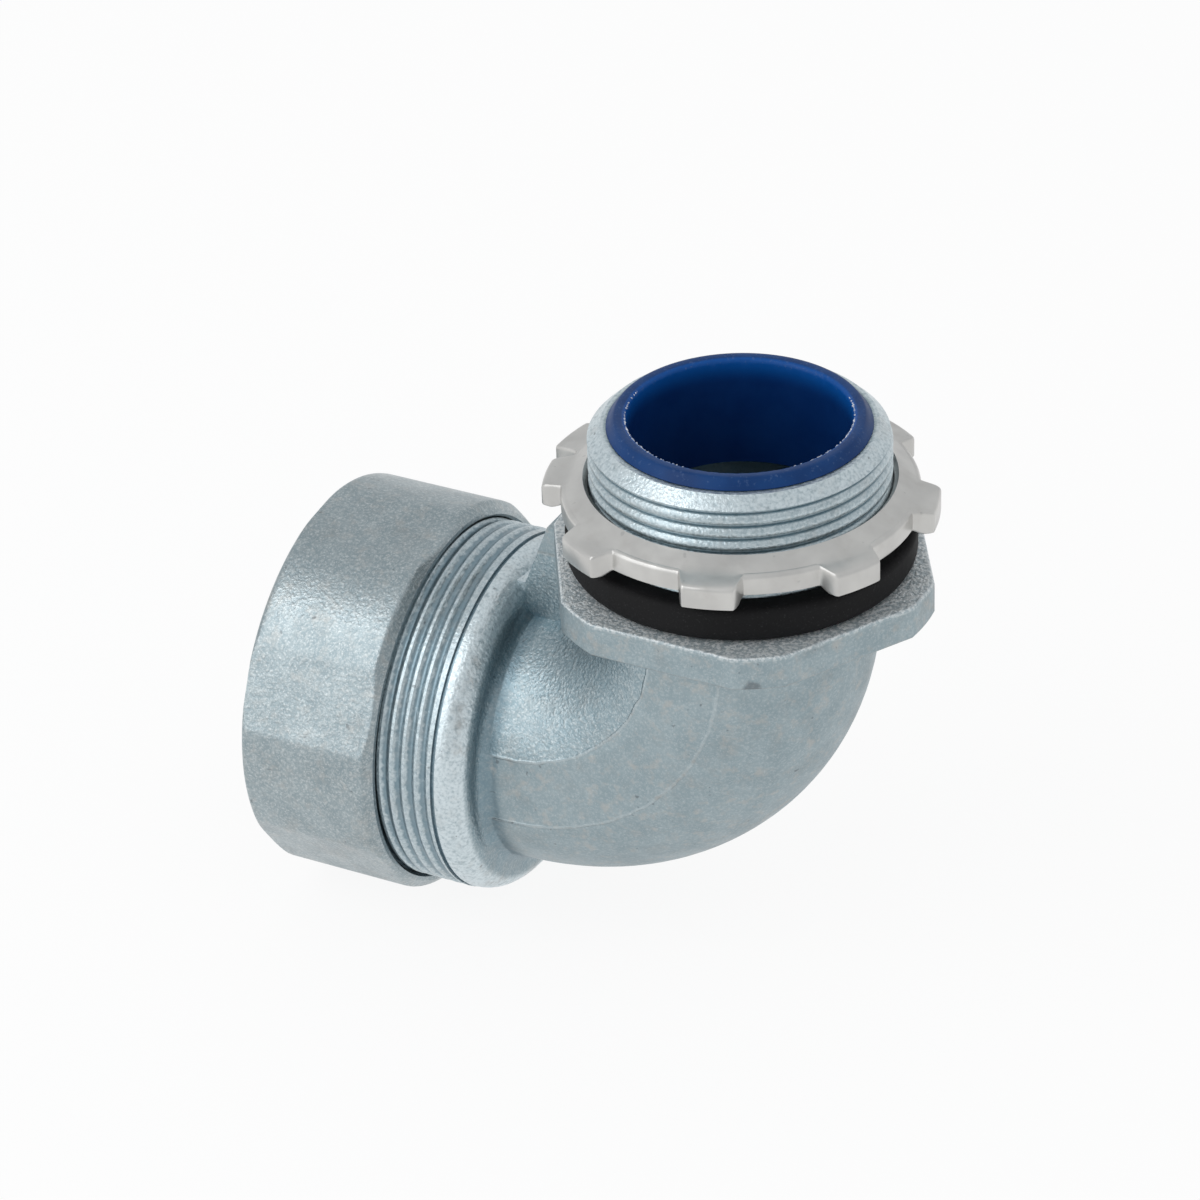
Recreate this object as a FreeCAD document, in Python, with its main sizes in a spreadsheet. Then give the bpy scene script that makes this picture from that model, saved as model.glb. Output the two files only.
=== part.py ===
import FreeCAD, Part
import math
import os
import Sketcher

# Elbow conduit connector: a 90 degree liquid-tight connector for flexible conduit of the 1 1/4 inch size.
# Frame: the origin is the centre of the flange's panel face, +Z points up the nipple, and the conduit
# leaves along -X. The threads themselves are fine detail: threaded cylinders stand at the crests.

# Driving dimensions in millimetres (degrees for turns), one row of the sheet each.
SIZES = [
    ("nipple_thread", 41.91, "nipple thread over its crests, the size of a G 1 1/4 pipe thread"),
    ("nipple_height", 20.5, "panel face of the flange to the end of the nipple"),
    ("nipple_chamfer", 1.7, "height of the chamfer at the nipple's end"),
    ("nipple_chamfer_depth", 1.8, "how far the chamfer goes in from the thread's crests"),
    ("nipple_bore", 34.0, "bore of the nipple, which holds the liner"),
    ("flange_flats", 51.3, "flange across its flats"),
    ("flange_corner_rise", 4.2, "how much more the flange measures across its rounded-off corners"),
    ("flange_thickness", 5.0, "thickness of the flange"),
    ("flange_edge", 0.4, "rounding of the flange's edges"),
    ("gland_drop", 35.7, "panel face down to the axis of the gland"),
    ("bend_radius", 29.1, "centre-line radius of the bend"),
    ("bend_start_diameter", 38.6, "outside of the bend under the flange"),
    ("bend_end_diameter", 40.8, "outside of the bend at the collar"),
    ("passage", 32.4, "inside of the bend"),
    ("side_flats", 39.0, "across the two flat sides of the bend"),
    ("side_flat_width", 10.7, "width of each flat side, along the bend's radius"),
    ("collar_reach", 32.0, "nipple axis to the near face of the collar"),
    ("collar_band", 0.4, "straight outside of the collar, beside the thread"),
    ("collar_rounding", 3.8, "rounding of the collar's near edge"),
    ("collar_face", 0.2, "flat ring between the skirt and that rounding"),
    ("skirt_radius", 2.2, "hollow radius between the collar and the bend"),
    ("skirt_bite", 0.25, "depth of the skirt's foot inside the bend's surface"),
    ("web_width", 8.6, "width of the web in the inner corner of the elbow"),
    ("web_reach", 28.2, "nipple axis to the top of the web, just outside the flange's corner"),
    ("web_fall", 0.6, "panel face down to the top of the web"),
    ("web_recess", 1.2, "how far the web stays inside the collar's surface"),
    ("gland_thread", 53.0, "gland thread over its crests"),
    ("gland_thread_length", 17.0, "collar to the end of the threaded spigot"),
    ("gland_thread_chamfer", 1.0, "chamfer at the end of the spigot"),
    ("spigot_wall", 3.5, "thread's crests to the socket in the spigot, which takes the end of the conduit"),
    ("socket_depth", 14.2, "depth of the socket"),
    ("socket_taper", 2.0, "length of the taper in the mouth of the socket"),
    ("socket_flare", 1.2, "widening of the radius over that taper"),
    ("liner_clearance", 0.1, "gap between the liner's sleeve and the nipple's bore"),
    ("liner_wall", 1.4, "wall of the liner's sleeve"),
    ("liner_length", 15.0, "length of the sleeve below the nipple's end"),
    ("liner_end_gap", 0.3, "room under the liner's sleeve"),
    ("lip_overhang", 1.3, "how far the liner's lip lies out over the nipple's end"),
    ("lip_height", 1.5, "height of the lip above the nipple's end"),
    ("lip_bevel", 1.1, "width of the bevel round the lip"),
    ("lip_rounding", 0.6, "rounding of the lip's inner edge"),
    ("gasket_width", 3.3, "width of the gasket, from its hole to its outside"),
    ("gasket_thickness", 5.4, "thickness of the gasket"),
    ("gasket_rounding", 1.0, "rounding of the gasket's upper outer edge"),
    ("gasket_foot_rounding", 2.0, "rounding of the gasket's lower outer edge"),
    ("gasket_clearance", 0.15, "gap between the gasket and the thread's crests"),
    ("locknut_height", 8.2, "panel face up to the underside of the locknut's ring"),
    ("locknut_thickness", 3.0, "thickness of the locknut's ring at its outside"),
    ("locknut_dish", 1.5, "how much higher the ring stands at its hole"),
    ("locknut_width", 3.7, "width of the locknut's ring, from its hole to its outside"),
    ("locknut_edge", 0.6, "rounding of the ring's upper edge and chamfer of its hole"),
    ("locknut_clearance", 0.15, "gap between the locknut and the thread's crests"),
    ("lug_count", 8, "evenly spaced lugs round the locknut"),
    ("lug_turn", 16.0, "direction of the first lug from +X"),
    ("lug_reach", 2.7, "ring to the tips of the even lugs"),
    ("odd_lug_turn", 173.0, "direction of the one lug that stands out of the even spacing"),
    ("odd_lug_reach", 3.8, "ring to the tip of that lug"),
    ("lug_root_width", 8.8, "width of a lug at the ring"),
    ("lug_tip_width", 7.0, "width of a lug at its tip"),
    ("lug_root_depth", 1.5, "how far a lug runs into the ring"),
    ("lug_fall", 0.5, "fall of a lug's upper face to its tip"),
    ("lug_drop", 0.8, "how far the tip reaches below the ring"),
    ("lug_tooth", 1.2, "flat underside at the tip"),
    ("nut_gap", 9.0, "collar to the mouth of the gland nut as it stands"),
    ("nut_length", 21.1, "length of the gland nut"),
    ("nut_wall", 1.5, "wall of the gland nut at the middle of a flat"),
    ("nut_corner_rise", 1.5, "how much more the nut measures across its turned-off corners"),
    ("nut_turn", 6.0, "direction of the nut's first corner from +Y"),
    ("nut_mouth_chamfer", 1.2, "outer chamfer at the nut's mouth"),
    ("nut_end_rounding", 1.0, "rounding of the nut's outer end"),
    ("nut_clearance", 0.2, "gap between the nut and the thread's crests"),
    ("nut_lead_in", 0.5, "chamfer inside the nut's mouth and its outlet"),
    ("nut_end_wall", 2.8, "thickness of the wall round the nut's outlet"),
    ("nut_outlet", 43.4, "outlet that the conduit goes into"),
    ("ring_wall", 1.3, "wall of the sealing ring's nose, round the conduit"),
    ("ring_flange", 1.6, "thickness of the sealing ring's flange"),
    ("ring_clearance", 0.3, "gap round the sealing ring, in the nut and in the socket"),
    ("ring_entry", 2.5, "how far the ring's nose stands in the socket"),
    ("ferrule_bore", 31.8, "bore of the ferrule"),
    ("ferrule_wall", 1.5, "wall of the ferrule's sleeve"),
    ("ferrule_flange", 1.6, "thickness of the ferrule's flange"),
    ("ferrule_clearance", 0.3, "gap between the ferrule's flange and the socket"),
    ("ferrule_length", 19.0, "length of the ferrule"),
    ("ferrule_lead_in", 0.7, "taper at the end of the ferrule's sleeve"),
    ("cut_overrun", 0.5, "how far a cut runs past the face that it opens"),
]

# How far an edge may lie from a flat face and still be taken as one of its own.
TOLERANCE = 1e-6

# Places along the gland axis, measured outwards from the nipple axis; the collar's middle is a place on X.
COLLAR_WIDTH = "(size.collar_band + size.collar_rounding)"
COLLAR_MIDDLE = "-size.collar_reach - %s / 2" % COLLAR_WIDTH
SPIGOT_START = "(size.collar_reach + %s)" % COLLAR_WIDTH
SPIGOT_END = "(%s + size.gland_thread_length)" % SPIGOT_START
SOCKET_FLOOR = "(%s - size.socket_depth)" % SPIGOT_END
NUT_MOUTH = "(%s + size.nut_gap)" % SPIGOT_START
NUT_END = "(%s + size.nut_length)" % NUT_MOUTH
NUT_SHOULDER = "(%s - size.nut_end_wall)" % NUT_END

# Radii that more than one feature takes.
NIPPLE_RIM = "(size.nipple_thread / 2 - size.nipple_chamfer_depth)"
FLANGE_CORNER = "((size.flange_flats + size.flange_corner_rise) / 2)"
SKIRT_FOOT = "(size.bend_end_diameter / 2 - size.skirt_bite)"
COLLAR_FACE = "(%s + size.skirt_radius + size.collar_face)" % SKIRT_FOOT
COLLAR_RADIUS = "(%s + size.collar_rounding)" % COLLAR_FACE
SOCKET_RADIUS = "(size.gland_thread / 2 - size.spigot_wall)"
LOCKNUT_HOLE = "(size.nipple_thread / 2 + size.locknut_clearance)"
LOCKNUT_RADIUS = "(%s + size.locknut_width)" % LOCKNUT_HOLE
NUT_THREAD = "(size.gland_thread / 2 + size.nut_clearance)"
NUT_FLATS = "(2 * (%s + size.nut_wall))" % NUT_THREAD
NUT_CORNER = "((%s + size.nut_corner_rise) / 2)" % NUT_FLATS

# Height of the bend's centre, and radius of the middle of its wall on the inside of the bend.
BEND_HEIGHT = "(size.bend_radius - size.gland_drop)"
INNER_WALL = "(size.bend_radius - (size.bend_start_diameter + size.passage) / 4)"

doc = FreeCAD.newDocument("elbow_conduit_connector")


def fill_sheet():
    """Write the driving dimensions to a sheet, each with an alias."""
    sheet = doc.addObject("Spreadsheet::Sheet", "size")
    for row, (alias, value, meaning) in enumerate(SIZES, start=1):
        sheet.set("A%d" % row, alias)
        sheet.set("B%d" % row, str(value))
        sheet.setAlias("B%d" % row, alias)
        sheet.set("C%d" % row, meaning)
    doc.recompute()


def new_body(name):
    """Make an empty body; its label names the piece."""
    body = doc.addObject("PartDesign::Body", name)
    body.Label = name
    return body


def new_sketch(body, name, role, up=None, out=None):
    """Attach a sketch to one of the body's origin planes, moved up in the plane or out along its normal."""
    sketch = body.newObject("Sketcher::SketchObject", name)
    plane = [feature for feature in body.Origin.OriginFeatures if feature.Role == role][0]
    sketch.AttachmentSupport = [(plane, "")]
    sketch.MapMode = "FlatFace"
    if up:
        sketch.setExpression("AttachmentOffset.Base.y", up)
    if out:
        sketch.setExpression("AttachmentOffset.Base.z", out)
    doc.recompute()
    return sketch


def gland_sketch(body, name):
    """A sketch in the plane of the bend whose horizontal axis is the gland axis."""
    return new_sketch(body, name, "XZ_Plane", up="-size.gland_drop")


def place(sketch, edge, end, across, up):
    """Hold one end of an edge (1 start, 2 end, 3 centre) at expressions across and up from the origin."""
    for kind, axis, expression in (("DistanceX", -2, across), ("DistanceY", -1, up)):
        if expression == "0":
            sketch.addConstraint(Sketcher.Constraint("PointOnObject", edge, end, axis))
            continue
        value = float(sketch.evalExpression(expression))
        index = sketch.addConstraint(Sketcher.Constraint(kind, -1, 1, edge, end, value))
        sketch.setExpression("Constraints[%d]" % index, expression)


def arc_between(start, finish, turn, radius):
    """An arc of less than half a circle from start to finish that turns left or right."""
    side = 1.0 if turn == "left" else -1.0
    chord = finish - start
    normal = FreeCAD.Vector(-chord.y, chord.x, 0).normalize()
    rise = math.sqrt(max(radius ** 2 - (chord.Length / 2) ** 2, 0))
    centre = (start + finish) * 0.5 + normal * side * rise
    first, last = (start, finish) if turn == "left" else (finish, start)
    begin = math.atan2(first.y - centre.y, first.x - centre.x)
    stop = math.atan2(last.y - centre.y, last.x - centre.x)
    if stop < begin:
        stop += 2 * math.pi
    return Part.ArcOfCircle(Part.Circle(centre, FreeCAD.Vector(0, 0, 1), radius), begin, stop)


def outline(sketch, corners):
    """Draw a closed outline of (across, up) corners, with (turn, radius) added where an arc follows."""
    points = []
    for corner in corners:
        across, up = [float(sketch.evalExpression(expression)) for expression in corner[:2]]
        points.append(FreeCAD.Vector(across, up, 0))
    edges = []
    for index, corner in enumerate(corners):
        start = points[index]
        finish = points[(index + 1) % len(points)]
        if len(corner) == 2:
            edges.append((sketch.addGeometry(Part.LineSegment(start, finish)), 1, 2))
            continue
        turn, radius = corner[2:]
        arc = sketch.addGeometry(arc_between(start, finish, turn, float(sketch.evalExpression(radius))))
        edges.append((arc, 1, 2) if turn == "left" else (arc, 2, 1))
    for index, (edge, first, last) in enumerate(edges):
        following, its_first, its_last = edges[(index + 1) % len(edges)]
        sketch.addConstraint(Sketcher.Constraint("Coincident", edge, last, following, its_first))
        place(sketch, edge, first, corners[index][0], corners[index][1])
        if len(corners[index]) > 2:
            radius = corners[index][3]
            value = float(sketch.evalExpression(radius))
            held = sketch.addConstraint(Sketcher.Constraint("Radius", edge, value))
            sketch.setExpression("Constraints[%d]" % held, radius)
    doc.recompute()


def circle(sketch, radius):
    """Draw a circle about the sketch's origin."""
    value = float(sketch.evalExpression(radius))
    edge = sketch.addGeometry(Part.Circle(FreeCAD.Vector(0, 0, 0), FreeCAD.Vector(0, 0, 1), value))
    sketch.addConstraint(Sketcher.Constraint("Coincident", edge, 3, -1, 1))
    held = sketch.addConstraint(Sketcher.Constraint("Radius", edge, value))
    sketch.setExpression("Constraints[%d]" % held, radius)
    doc.recompute()


def hexagon(sketch, flats, turn):
    """Draw a hexagon about the sketch's origin, with a corner at the angle turn."""
    reach = "%s / sqrt(3)" % flats
    corners = []
    for step in range(6):
        angle = "(%s + %d)" % (turn, 60 * step)
        corners.append(("%s * cos(%s)" % (reach, angle), "%s * sin(%s)" % (reach, angle)))
    outline(sketch, corners)


def turned(body, name, kind, sketch, axis):
    """Revolve a sketch fully about one of its own axes, as a Revolution or a Groove."""
    feature = body.newObject("PartDesign::" + kind, name)
    feature.Profile = sketch
    feature.ReferenceAxis = (sketch, [axis])
    feature.Angle = 360
    doc.recompute()
    return feature


def pad(body, name, sketch, length, reverse=False, both_ways=False):
    """Extrude a sketch along its normal, against it, or half each way."""
    feature = body.newObject("PartDesign::Pad", name)
    feature.Profile = sketch
    feature.setExpression("Length", length)
    feature.Reversed = reverse
    feature.Midplane = both_ways
    doc.recompute()
    return feature


def bend_route(body):
    """The centre line: down from the flange, round the bend and out to the middle of the collar."""
    sketch = new_sketch(body, "bend_route", "XZ_Plane")
    radius, drop, height, out = [
        float(sketch.evalExpression(expression))
        for expression in ("size.bend_radius", "size.gland_drop", BEND_HEIGHT, "size.collar_reach")
    ]
    centre = FreeCAD.Vector(-radius, height, 0)
    whole = Part.Circle(centre, FreeCAD.Vector(0, 0, 1), radius)
    quarter = Part.ArcOfCircle(whole, 1.5 * math.pi, 2 * math.pi)
    down = sketch.addGeometry(Part.LineSegment(FreeCAD.Vector(0, 0, 0), FreeCAD.Vector(0, height, 0)))
    bend = sketch.addGeometry(quarter)
    foot = FreeCAD.Vector(-radius, -drop, 0)
    along = sketch.addGeometry(Part.LineSegment(foot, FreeCAD.Vector(-out, -drop, 0)))
    sketch.addConstraint(Sketcher.Constraint("Coincident", down, 2, bend, 2))
    sketch.addConstraint(Sketcher.Constraint("Coincident", bend, 1, along, 1))
    place(sketch, down, 1, "0", "-size.flange_thickness / 2")
    place(sketch, down, 2, "0", BEND_HEIGHT)
    place(sketch, bend, 3, "-size.bend_radius", BEND_HEIGHT)
    place(sketch, along, 2, COLLAR_MIDDLE, "-size.gland_drop")
    index = sketch.addConstraint(Sketcher.Constraint("DistanceX", -1, 1, along, 1, -radius))
    sketch.setExpression("Constraints[%d]" % index, "-size.bend_radius")
    doc.recompute()
    return sketch


def bend_tube(body, route):
    """The bend's outside, which widens a little from the flange to the collar."""
    start = new_sketch(body, "bend_start", "XY_Plane", out="-size.flange_thickness / 2")
    circle(start, "size.bend_start_diameter / 2")
    finish = new_sketch(body, "bend_finish", "YZ_Plane", up="-size.gland_drop", out=COLLAR_MIDDLE)
    circle(finish, "size.bend_end_diameter / 2")
    tube = body.newObject("PartDesign::AdditivePipe", "bend_tube")
    tube.Profile = start
    tube.Spine = (route, [])
    tube.Transformation = "Multisection"
    tube.Sections = [(finish, [""])]
    doc.recompute()


def side_flats(body):
    """Flatten both sides of the bend between two arcs about the bend's centre."""
    sketch = new_sketch(body, "side_flat_section", "YZ_Plane", up=BEND_HEIGHT, out="-size.bend_radius")
    inner = "-(size.bend_radius - size.side_flat_width / 2)"
    outer = "-(size.bend_radius + size.side_flat_width / 2)"
    for side in ("", "-"):
        near = side + "size.side_flats / 2"
        far = side + "size.bend_end_diameter"
        outline(sketch, [(near, inner), (far, inner), (far, outer), (near, outer)])
    turned(body, "side_flats", "Groove", sketch, "H_Axis")


def flange(body):
    """The six-sided flange with its corners rounded off and its edges broken."""
    sides = new_sketch(body, "flange_sides", "XY_Plane")
    hexagon(sides, "size.flange_flats", "0")
    pad(body, "flange", sides, "size.flange_thickness", reverse=True)
    corners = new_sketch(body, "flange_corner_section", "XZ_Plane")
    inside, outside = FLANGE_CORNER, "size.flange_flats"
    under, over = "-size.flange_thickness - size.cut_overrun", "size.cut_overrun"
    outline(corners, [(inside, under), (outside, under), (outside, over), (inside, over)])
    rounded = turned(body, "flange_corners", "Groove", corners, "V_Axis")
    thickness = float(corners.evalExpression("size.flange_thickness"))
    rims = []
    for number, edge in enumerate(rounded.Shape.Edges, start=1):
        box = edge.BoundBox
        off_a_face = min(abs(box.ZMax), abs(box.ZMax + thickness))
        if box.ZLength < TOLERANCE and off_a_face < TOLERANCE and edge.Closed is False:
            rims.append("Edge%d" % number)
    edges = body.newObject("PartDesign::Fillet", "flange_edges")
    edges.Base = (rounded, rims)
    edges.setExpression("Radius", "size.flange_edge")
    doc.recompute()


def nipple(body):
    """The threaded nipple, at its crests, with a chamfered end."""
    sketch = new_sketch(body, "nipple_section", "XZ_Plane")
    outline(sketch, [
        ("0", "-size.flange_thickness / 2"),
        ("size.nipple_thread / 2", "-size.flange_thickness / 2"),
        ("size.nipple_thread / 2", "size.nipple_height - size.nipple_chamfer"),
        (NIPPLE_RIM, "size.nipple_height"),
        ("0", "size.nipple_height"),
    ])
    turned(body, "nipple", "Revolution", sketch, "V_Axis")


def gland_end(body):
    """The collar with its hollow skirt on the bend, and the threaded spigot, at its crests."""
    sketch = gland_sketch(body, "gland_end_section")
    outline(sketch, [
        ("-size.collar_reach + size.skirt_radius", "0"),
        ("-size.collar_reach + size.skirt_radius", SKIRT_FOOT, "right", "size.skirt_radius"),
        ("-size.collar_reach", SKIRT_FOOT + " + size.skirt_radius"),
        ("-size.collar_reach", COLLAR_FACE, "left", "size.collar_rounding"),
        ("-size.collar_reach - size.collar_rounding", COLLAR_RADIUS),
        ("-" + SPIGOT_START, COLLAR_RADIUS),
        ("-" + SPIGOT_START, "size.gland_thread / 2"),
        ("-" + SPIGOT_END + " + size.gland_thread_chamfer", "size.gland_thread / 2"),
        ("-" + SPIGOT_END, "size.gland_thread / 2 - size.gland_thread_chamfer"),
        ("-" + SPIGOT_END, "0"),
    ])
    turned(body, "gland_end", "Revolution", sketch, "H_Axis")


def web(body):
    """The web that fills the inner corner between the collar and the flange."""
    sketch = new_sketch(body, "web_side", "XZ_Plane")
    collar_top = COLLAR_RADIUS + " - size.gland_drop - size.web_recess"
    outline(sketch, [
        (COLLAR_MIDDLE, collar_top),
        (COLLAR_MIDDLE, BEND_HEIGHT + " - " + INNER_WALL),
        ("-size.bend_radius + %s * cos(45)" % INNER_WALL, BEND_HEIGHT + " - %s * sin(45)" % INNER_WALL),
        ("-size.bend_radius + " + INNER_WALL, "-size.flange_thickness / 2"),
        ("-size.bend_radius + " + INNER_WALL, "-size.web_fall"),
        ("-size.web_reach", "-size.web_fall"),
        ("-size.collar_reach", collar_top),
    ])
    pad(body, "web", sketch, "size.web_width", both_ways=True)


def elbow_openings(body, route):
    """The passage through the bend, the liner's seat in the nipple and the conduit's socket in the spigot."""
    bore = new_sketch(body, "passage_section", "XY_Plane", out="-size.flange_thickness / 2")
    circle(bore, "size.passage / 2")
    passage = body.newObject("PartDesign::SubtractivePipe", "passage")
    passage.Profile = bore
    passage.Spine = (route, [])
    doc.recompute()
    liner_seat = new_sketch(body, "liner_seat_section", "XZ_Plane")
    floor = "-size.flange_thickness / 2 - size.cut_overrun"
    ledge = "size.nipple_height - size.liner_length - size.liner_end_gap"
    top = "size.nipple_height + size.cut_overrun"
    outline(liner_seat, [
        ("0", floor),
        ("size.passage / 2", floor),
        ("size.passage / 2", ledge),
        ("size.nipple_bore / 2", ledge),
        ("size.nipple_bore / 2", top),
        ("0", top),
    ])
    turned(body, "liner_seat", "Groove", liner_seat, "V_Axis")
    socket = gland_sketch(body, "socket_section")
    outline(socket, [
        ("-size.collar_reach", "0"),
        ("-size.collar_reach", "size.passage / 2"),
        ("-" + SOCKET_FLOOR, "size.passage / 2"),
        ("-" + SOCKET_FLOOR, SOCKET_RADIUS),
        ("-" + SPIGOT_END + " + size.socket_taper", SOCKET_RADIUS),
        ("-" + SPIGOT_END, SOCKET_RADIUS + " + size.socket_flare"),
        ("-" + SPIGOT_END + " - size.cut_overrun", SOCKET_RADIUS + " + size.socket_flare"),
        ("-" + SPIGOT_END + " - size.cut_overrun", "0"),
    ])
    turned(body, "socket", "Groove", socket, "H_Axis")


def make_elbow_body():
    """One casting: bend, flange, nipple, collar, spigot and web, hollow from end to end."""
    body = new_body("elbow_body")
    route = bend_route(body)
    bend_tube(body, route)
    side_flats(body)
    flange(body)
    nipple(body)
    gland_end(body)
    web(body)
    elbow_openings(body, route)
    return body


def make_throat_liner():
    """A plastic sleeve in the nipple, with a bevelled lip on the nipple's end."""
    body = new_body("throat_liner")
    sketch = new_sketch(body, "liner_section", "XZ_Plane")
    outside = "size.nipple_bore / 2 - size.liner_clearance"
    inside = outside + " - size.liner_wall"
    lip = "size.nipple_bore / 2 + size.lip_overhang"
    bottom = "size.nipple_height - size.liner_length"
    top = "size.nipple_height + size.lip_height"
    outline(sketch, [
        (inside, bottom),
        (outside, bottom),
        (outside, "size.nipple_height"),
        (lip, "size.nipple_height"),
        (lip + " - size.lip_bevel", top),
        (inside + " + size.lip_rounding", top, "left", "size.lip_rounding"),
        (inside, top + " - size.lip_rounding"),
    ])
    turned(body, "liner", "Revolution", sketch, "V_Axis")
    return body


def make_sealing_gasket():
    """A thick rubber ring on the flange, round the nipple."""
    body = new_body("sealing_gasket")
    sketch = new_sketch(body, "gasket_section", "XZ_Plane")
    inside = "size.nipple_thread / 2 + size.gasket_clearance"
    outside = inside + " + size.gasket_width"
    top = "size.gasket_thickness"
    outline(sketch, [
        (inside, "0"),
        (outside + " - size.gasket_foot_rounding", "0", "left", "size.gasket_foot_rounding"),
        (outside, "size.gasket_foot_rounding"),
        (outside, top + " - size.gasket_rounding", "left", "size.gasket_rounding"),
        (outside + " - size.gasket_rounding", top),
        (inside, top),
    ])
    turned(body, "gasket", "Revolution", sketch, "V_Axis")
    return body


def locknut_ring(body):
    """The locknut's ring: it rises to its chamfered hole and is rounded at its upper outer edge."""
    sketch = new_sketch(body, "ring_section", "XZ_Plane")
    bottom = "size.locknut_height"
    top = "size.locknut_height + size.locknut_thickness"
    rim = top + " + size.locknut_dish"
    outline(sketch, [
        (LOCKNUT_HOLE + " + size.locknut_edge", bottom),
        (LOCKNUT_RADIUS, bottom),
        (LOCKNUT_RADIUS, top + " - size.locknut_edge", "left", "size.locknut_edge"),
        (LOCKNUT_RADIUS + " - size.locknut_edge", top),
        (LOCKNUT_HOLE + " + size.locknut_edge", rim),
        (LOCKNUT_HOLE, rim + " - size.locknut_edge"),
        (LOCKNUT_HOLE, bottom + " + size.locknut_edge"),
    ])
    turned(body, "ring", "Revolution", sketch, "V_Axis")


def lug_block(body, name, turn, reach):
    """One tapered block from inside the ring out to a lug's tip, in the direction turn."""
    plan = new_sketch(body, name + "_plan", "XY_Plane", out="size.locknut_height - size.lug_drop")
    root = "(%s - size.lug_root_depth)" % LOCKNUT_RADIUS
    tip = "(%s + %s)" % (LOCKNUT_RADIUS, reach)
    corners = []
    for radius, width, left, ahead in (
        (root, "size.lug_root_width", "+", "-"),
        (tip, "size.lug_tip_width", "+", "-"),
        (tip, "size.lug_tip_width", "-", "+"),
        (root, "size.lug_root_width", "-", "+"),
    ):
        across = "%s * cos(%s) %s %s / 2 * sin(%s)" % (radius, turn, left, width, turn)
        up = "%s * sin(%s) %s %s / 2 * cos(%s)" % (radius, turn, ahead, width, turn)
        corners.append((across, up))
    outline(plan, corners)
    return pad(body, name, plan, "size.locknut_thickness + size.lug_drop")


def locknut_lugs(body):
    """The lugs: tapered blocks round the ring, then sloped above and below as if bent down."""
    first = lug_block(body, "lug", "size.lug_turn", "size.lug_reach")
    lugs = body.newObject("PartDesign::PolarPattern", "lugs")
    lugs.Originals = [first]
    lugs.Axis = (first.Profile[0], ["N_Axis"])
    lugs.Angle = 360
    lugs.setExpression("Occurrences", "size.lug_count")
    body.Tip = lugs
    doc.recompute()
    lug_block(body, "odd_lug", "size.odd_lug_turn", "size.odd_lug_reach")
    slopes = new_sketch(body, "lug_slopes", "XZ_Plane")
    edge = LOCKNUT_RADIUS
    tip = LOCKNUT_RADIUS + " + size.lug_reach"
    beyond = LOCKNUT_RADIUS + " + size.lug_reach + size.odd_lug_reach"
    top = "size.locknut_height + size.locknut_thickness"
    bottom = "size.locknut_height"
    outline(slopes, [
        (edge, top),
        (tip, top + " - size.lug_fall"),
        (beyond, top + " - size.lug_fall"),
        (beyond, top + " + size.cut_overrun"),
        (edge, top + " + size.cut_overrun"),
    ])
    inside = edge + " - size.lug_root_depth - size.cut_overrun"
    below = bottom + " - size.lug_drop - size.cut_overrun"
    outline(slopes, [
        (inside, below),
        (tip + " - size.lug_tooth", below),
        (tip + " - size.lug_tooth", bottom + " - size.lug_drop"),
        (edge, bottom),
        (inside, bottom),
    ])
    turned(body, "lug_faces", "Groove", slopes, "V_Axis")


def make_locknut():
    """The castellated locknut on the nipple's thread."""
    body = new_body("locknut")
    locknut_ring(body)
    locknut_lugs(body)
    return body


def make_gland_nut():
    """The gland nut: six flats, corners turned off, a threaded mouth and an outlet for the conduit."""
    body = new_body("gland_nut")
    sides = new_sketch(body, "nut_sides", "YZ_Plane", up="-size.gland_drop", out="-" + NUT_MOUTH)
    hexagon(sides, NUT_FLATS, "size.nut_turn")
    pad(body, "nut_block", sides, "size.nut_length", reverse=True)
    turning = gland_sketch(body, "nut_turning_section")
    mouth, end = "-" + NUT_MOUTH, "-" + NUT_END
    away = NUT_FLATS
    outline(turning, [
        (mouth + " + size.cut_overrun", NUT_CORNER + " - size.nut_mouth_chamfer - size.cut_overrun"),
        (mouth + " + size.cut_overrun", away),
        (end + " - size.cut_overrun", away),
        (end + " - size.cut_overrun", NUT_CORNER + " - size.nut_end_rounding"),
        (end, NUT_CORNER + " - size.nut_end_rounding", "right", "size.nut_end_rounding"),
        (end + " + size.nut_end_rounding", NUT_CORNER),
        (mouth + " - size.nut_mouth_chamfer", NUT_CORNER),
    ])
    turned(body, "nut_turning", "Groove", turning, "H_Axis")
    inside = gland_sketch(body, "nut_bore_section")
    outline(inside, [
        (mouth + " + size.nut_lead_in", "0"),
        (mouth + " + size.nut_lead_in", NUT_THREAD + " + 2 * size.nut_lead_in"),
        (mouth + " - size.nut_lead_in", NUT_THREAD),
        ("-" + NUT_SHOULDER, NUT_THREAD),
        ("-" + NUT_SHOULDER, "size.nut_outlet / 2"),
        (end + " + size.nut_lead_in", "size.nut_outlet / 2"),
        (end + " - size.nut_lead_in", "size.nut_outlet / 2 + 2 * size.nut_lead_in"),
        (end + " - size.nut_lead_in", "0"),
    ])
    turned(body, "nut_bore", "Groove", inside, "H_Axis")
    return body


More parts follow.
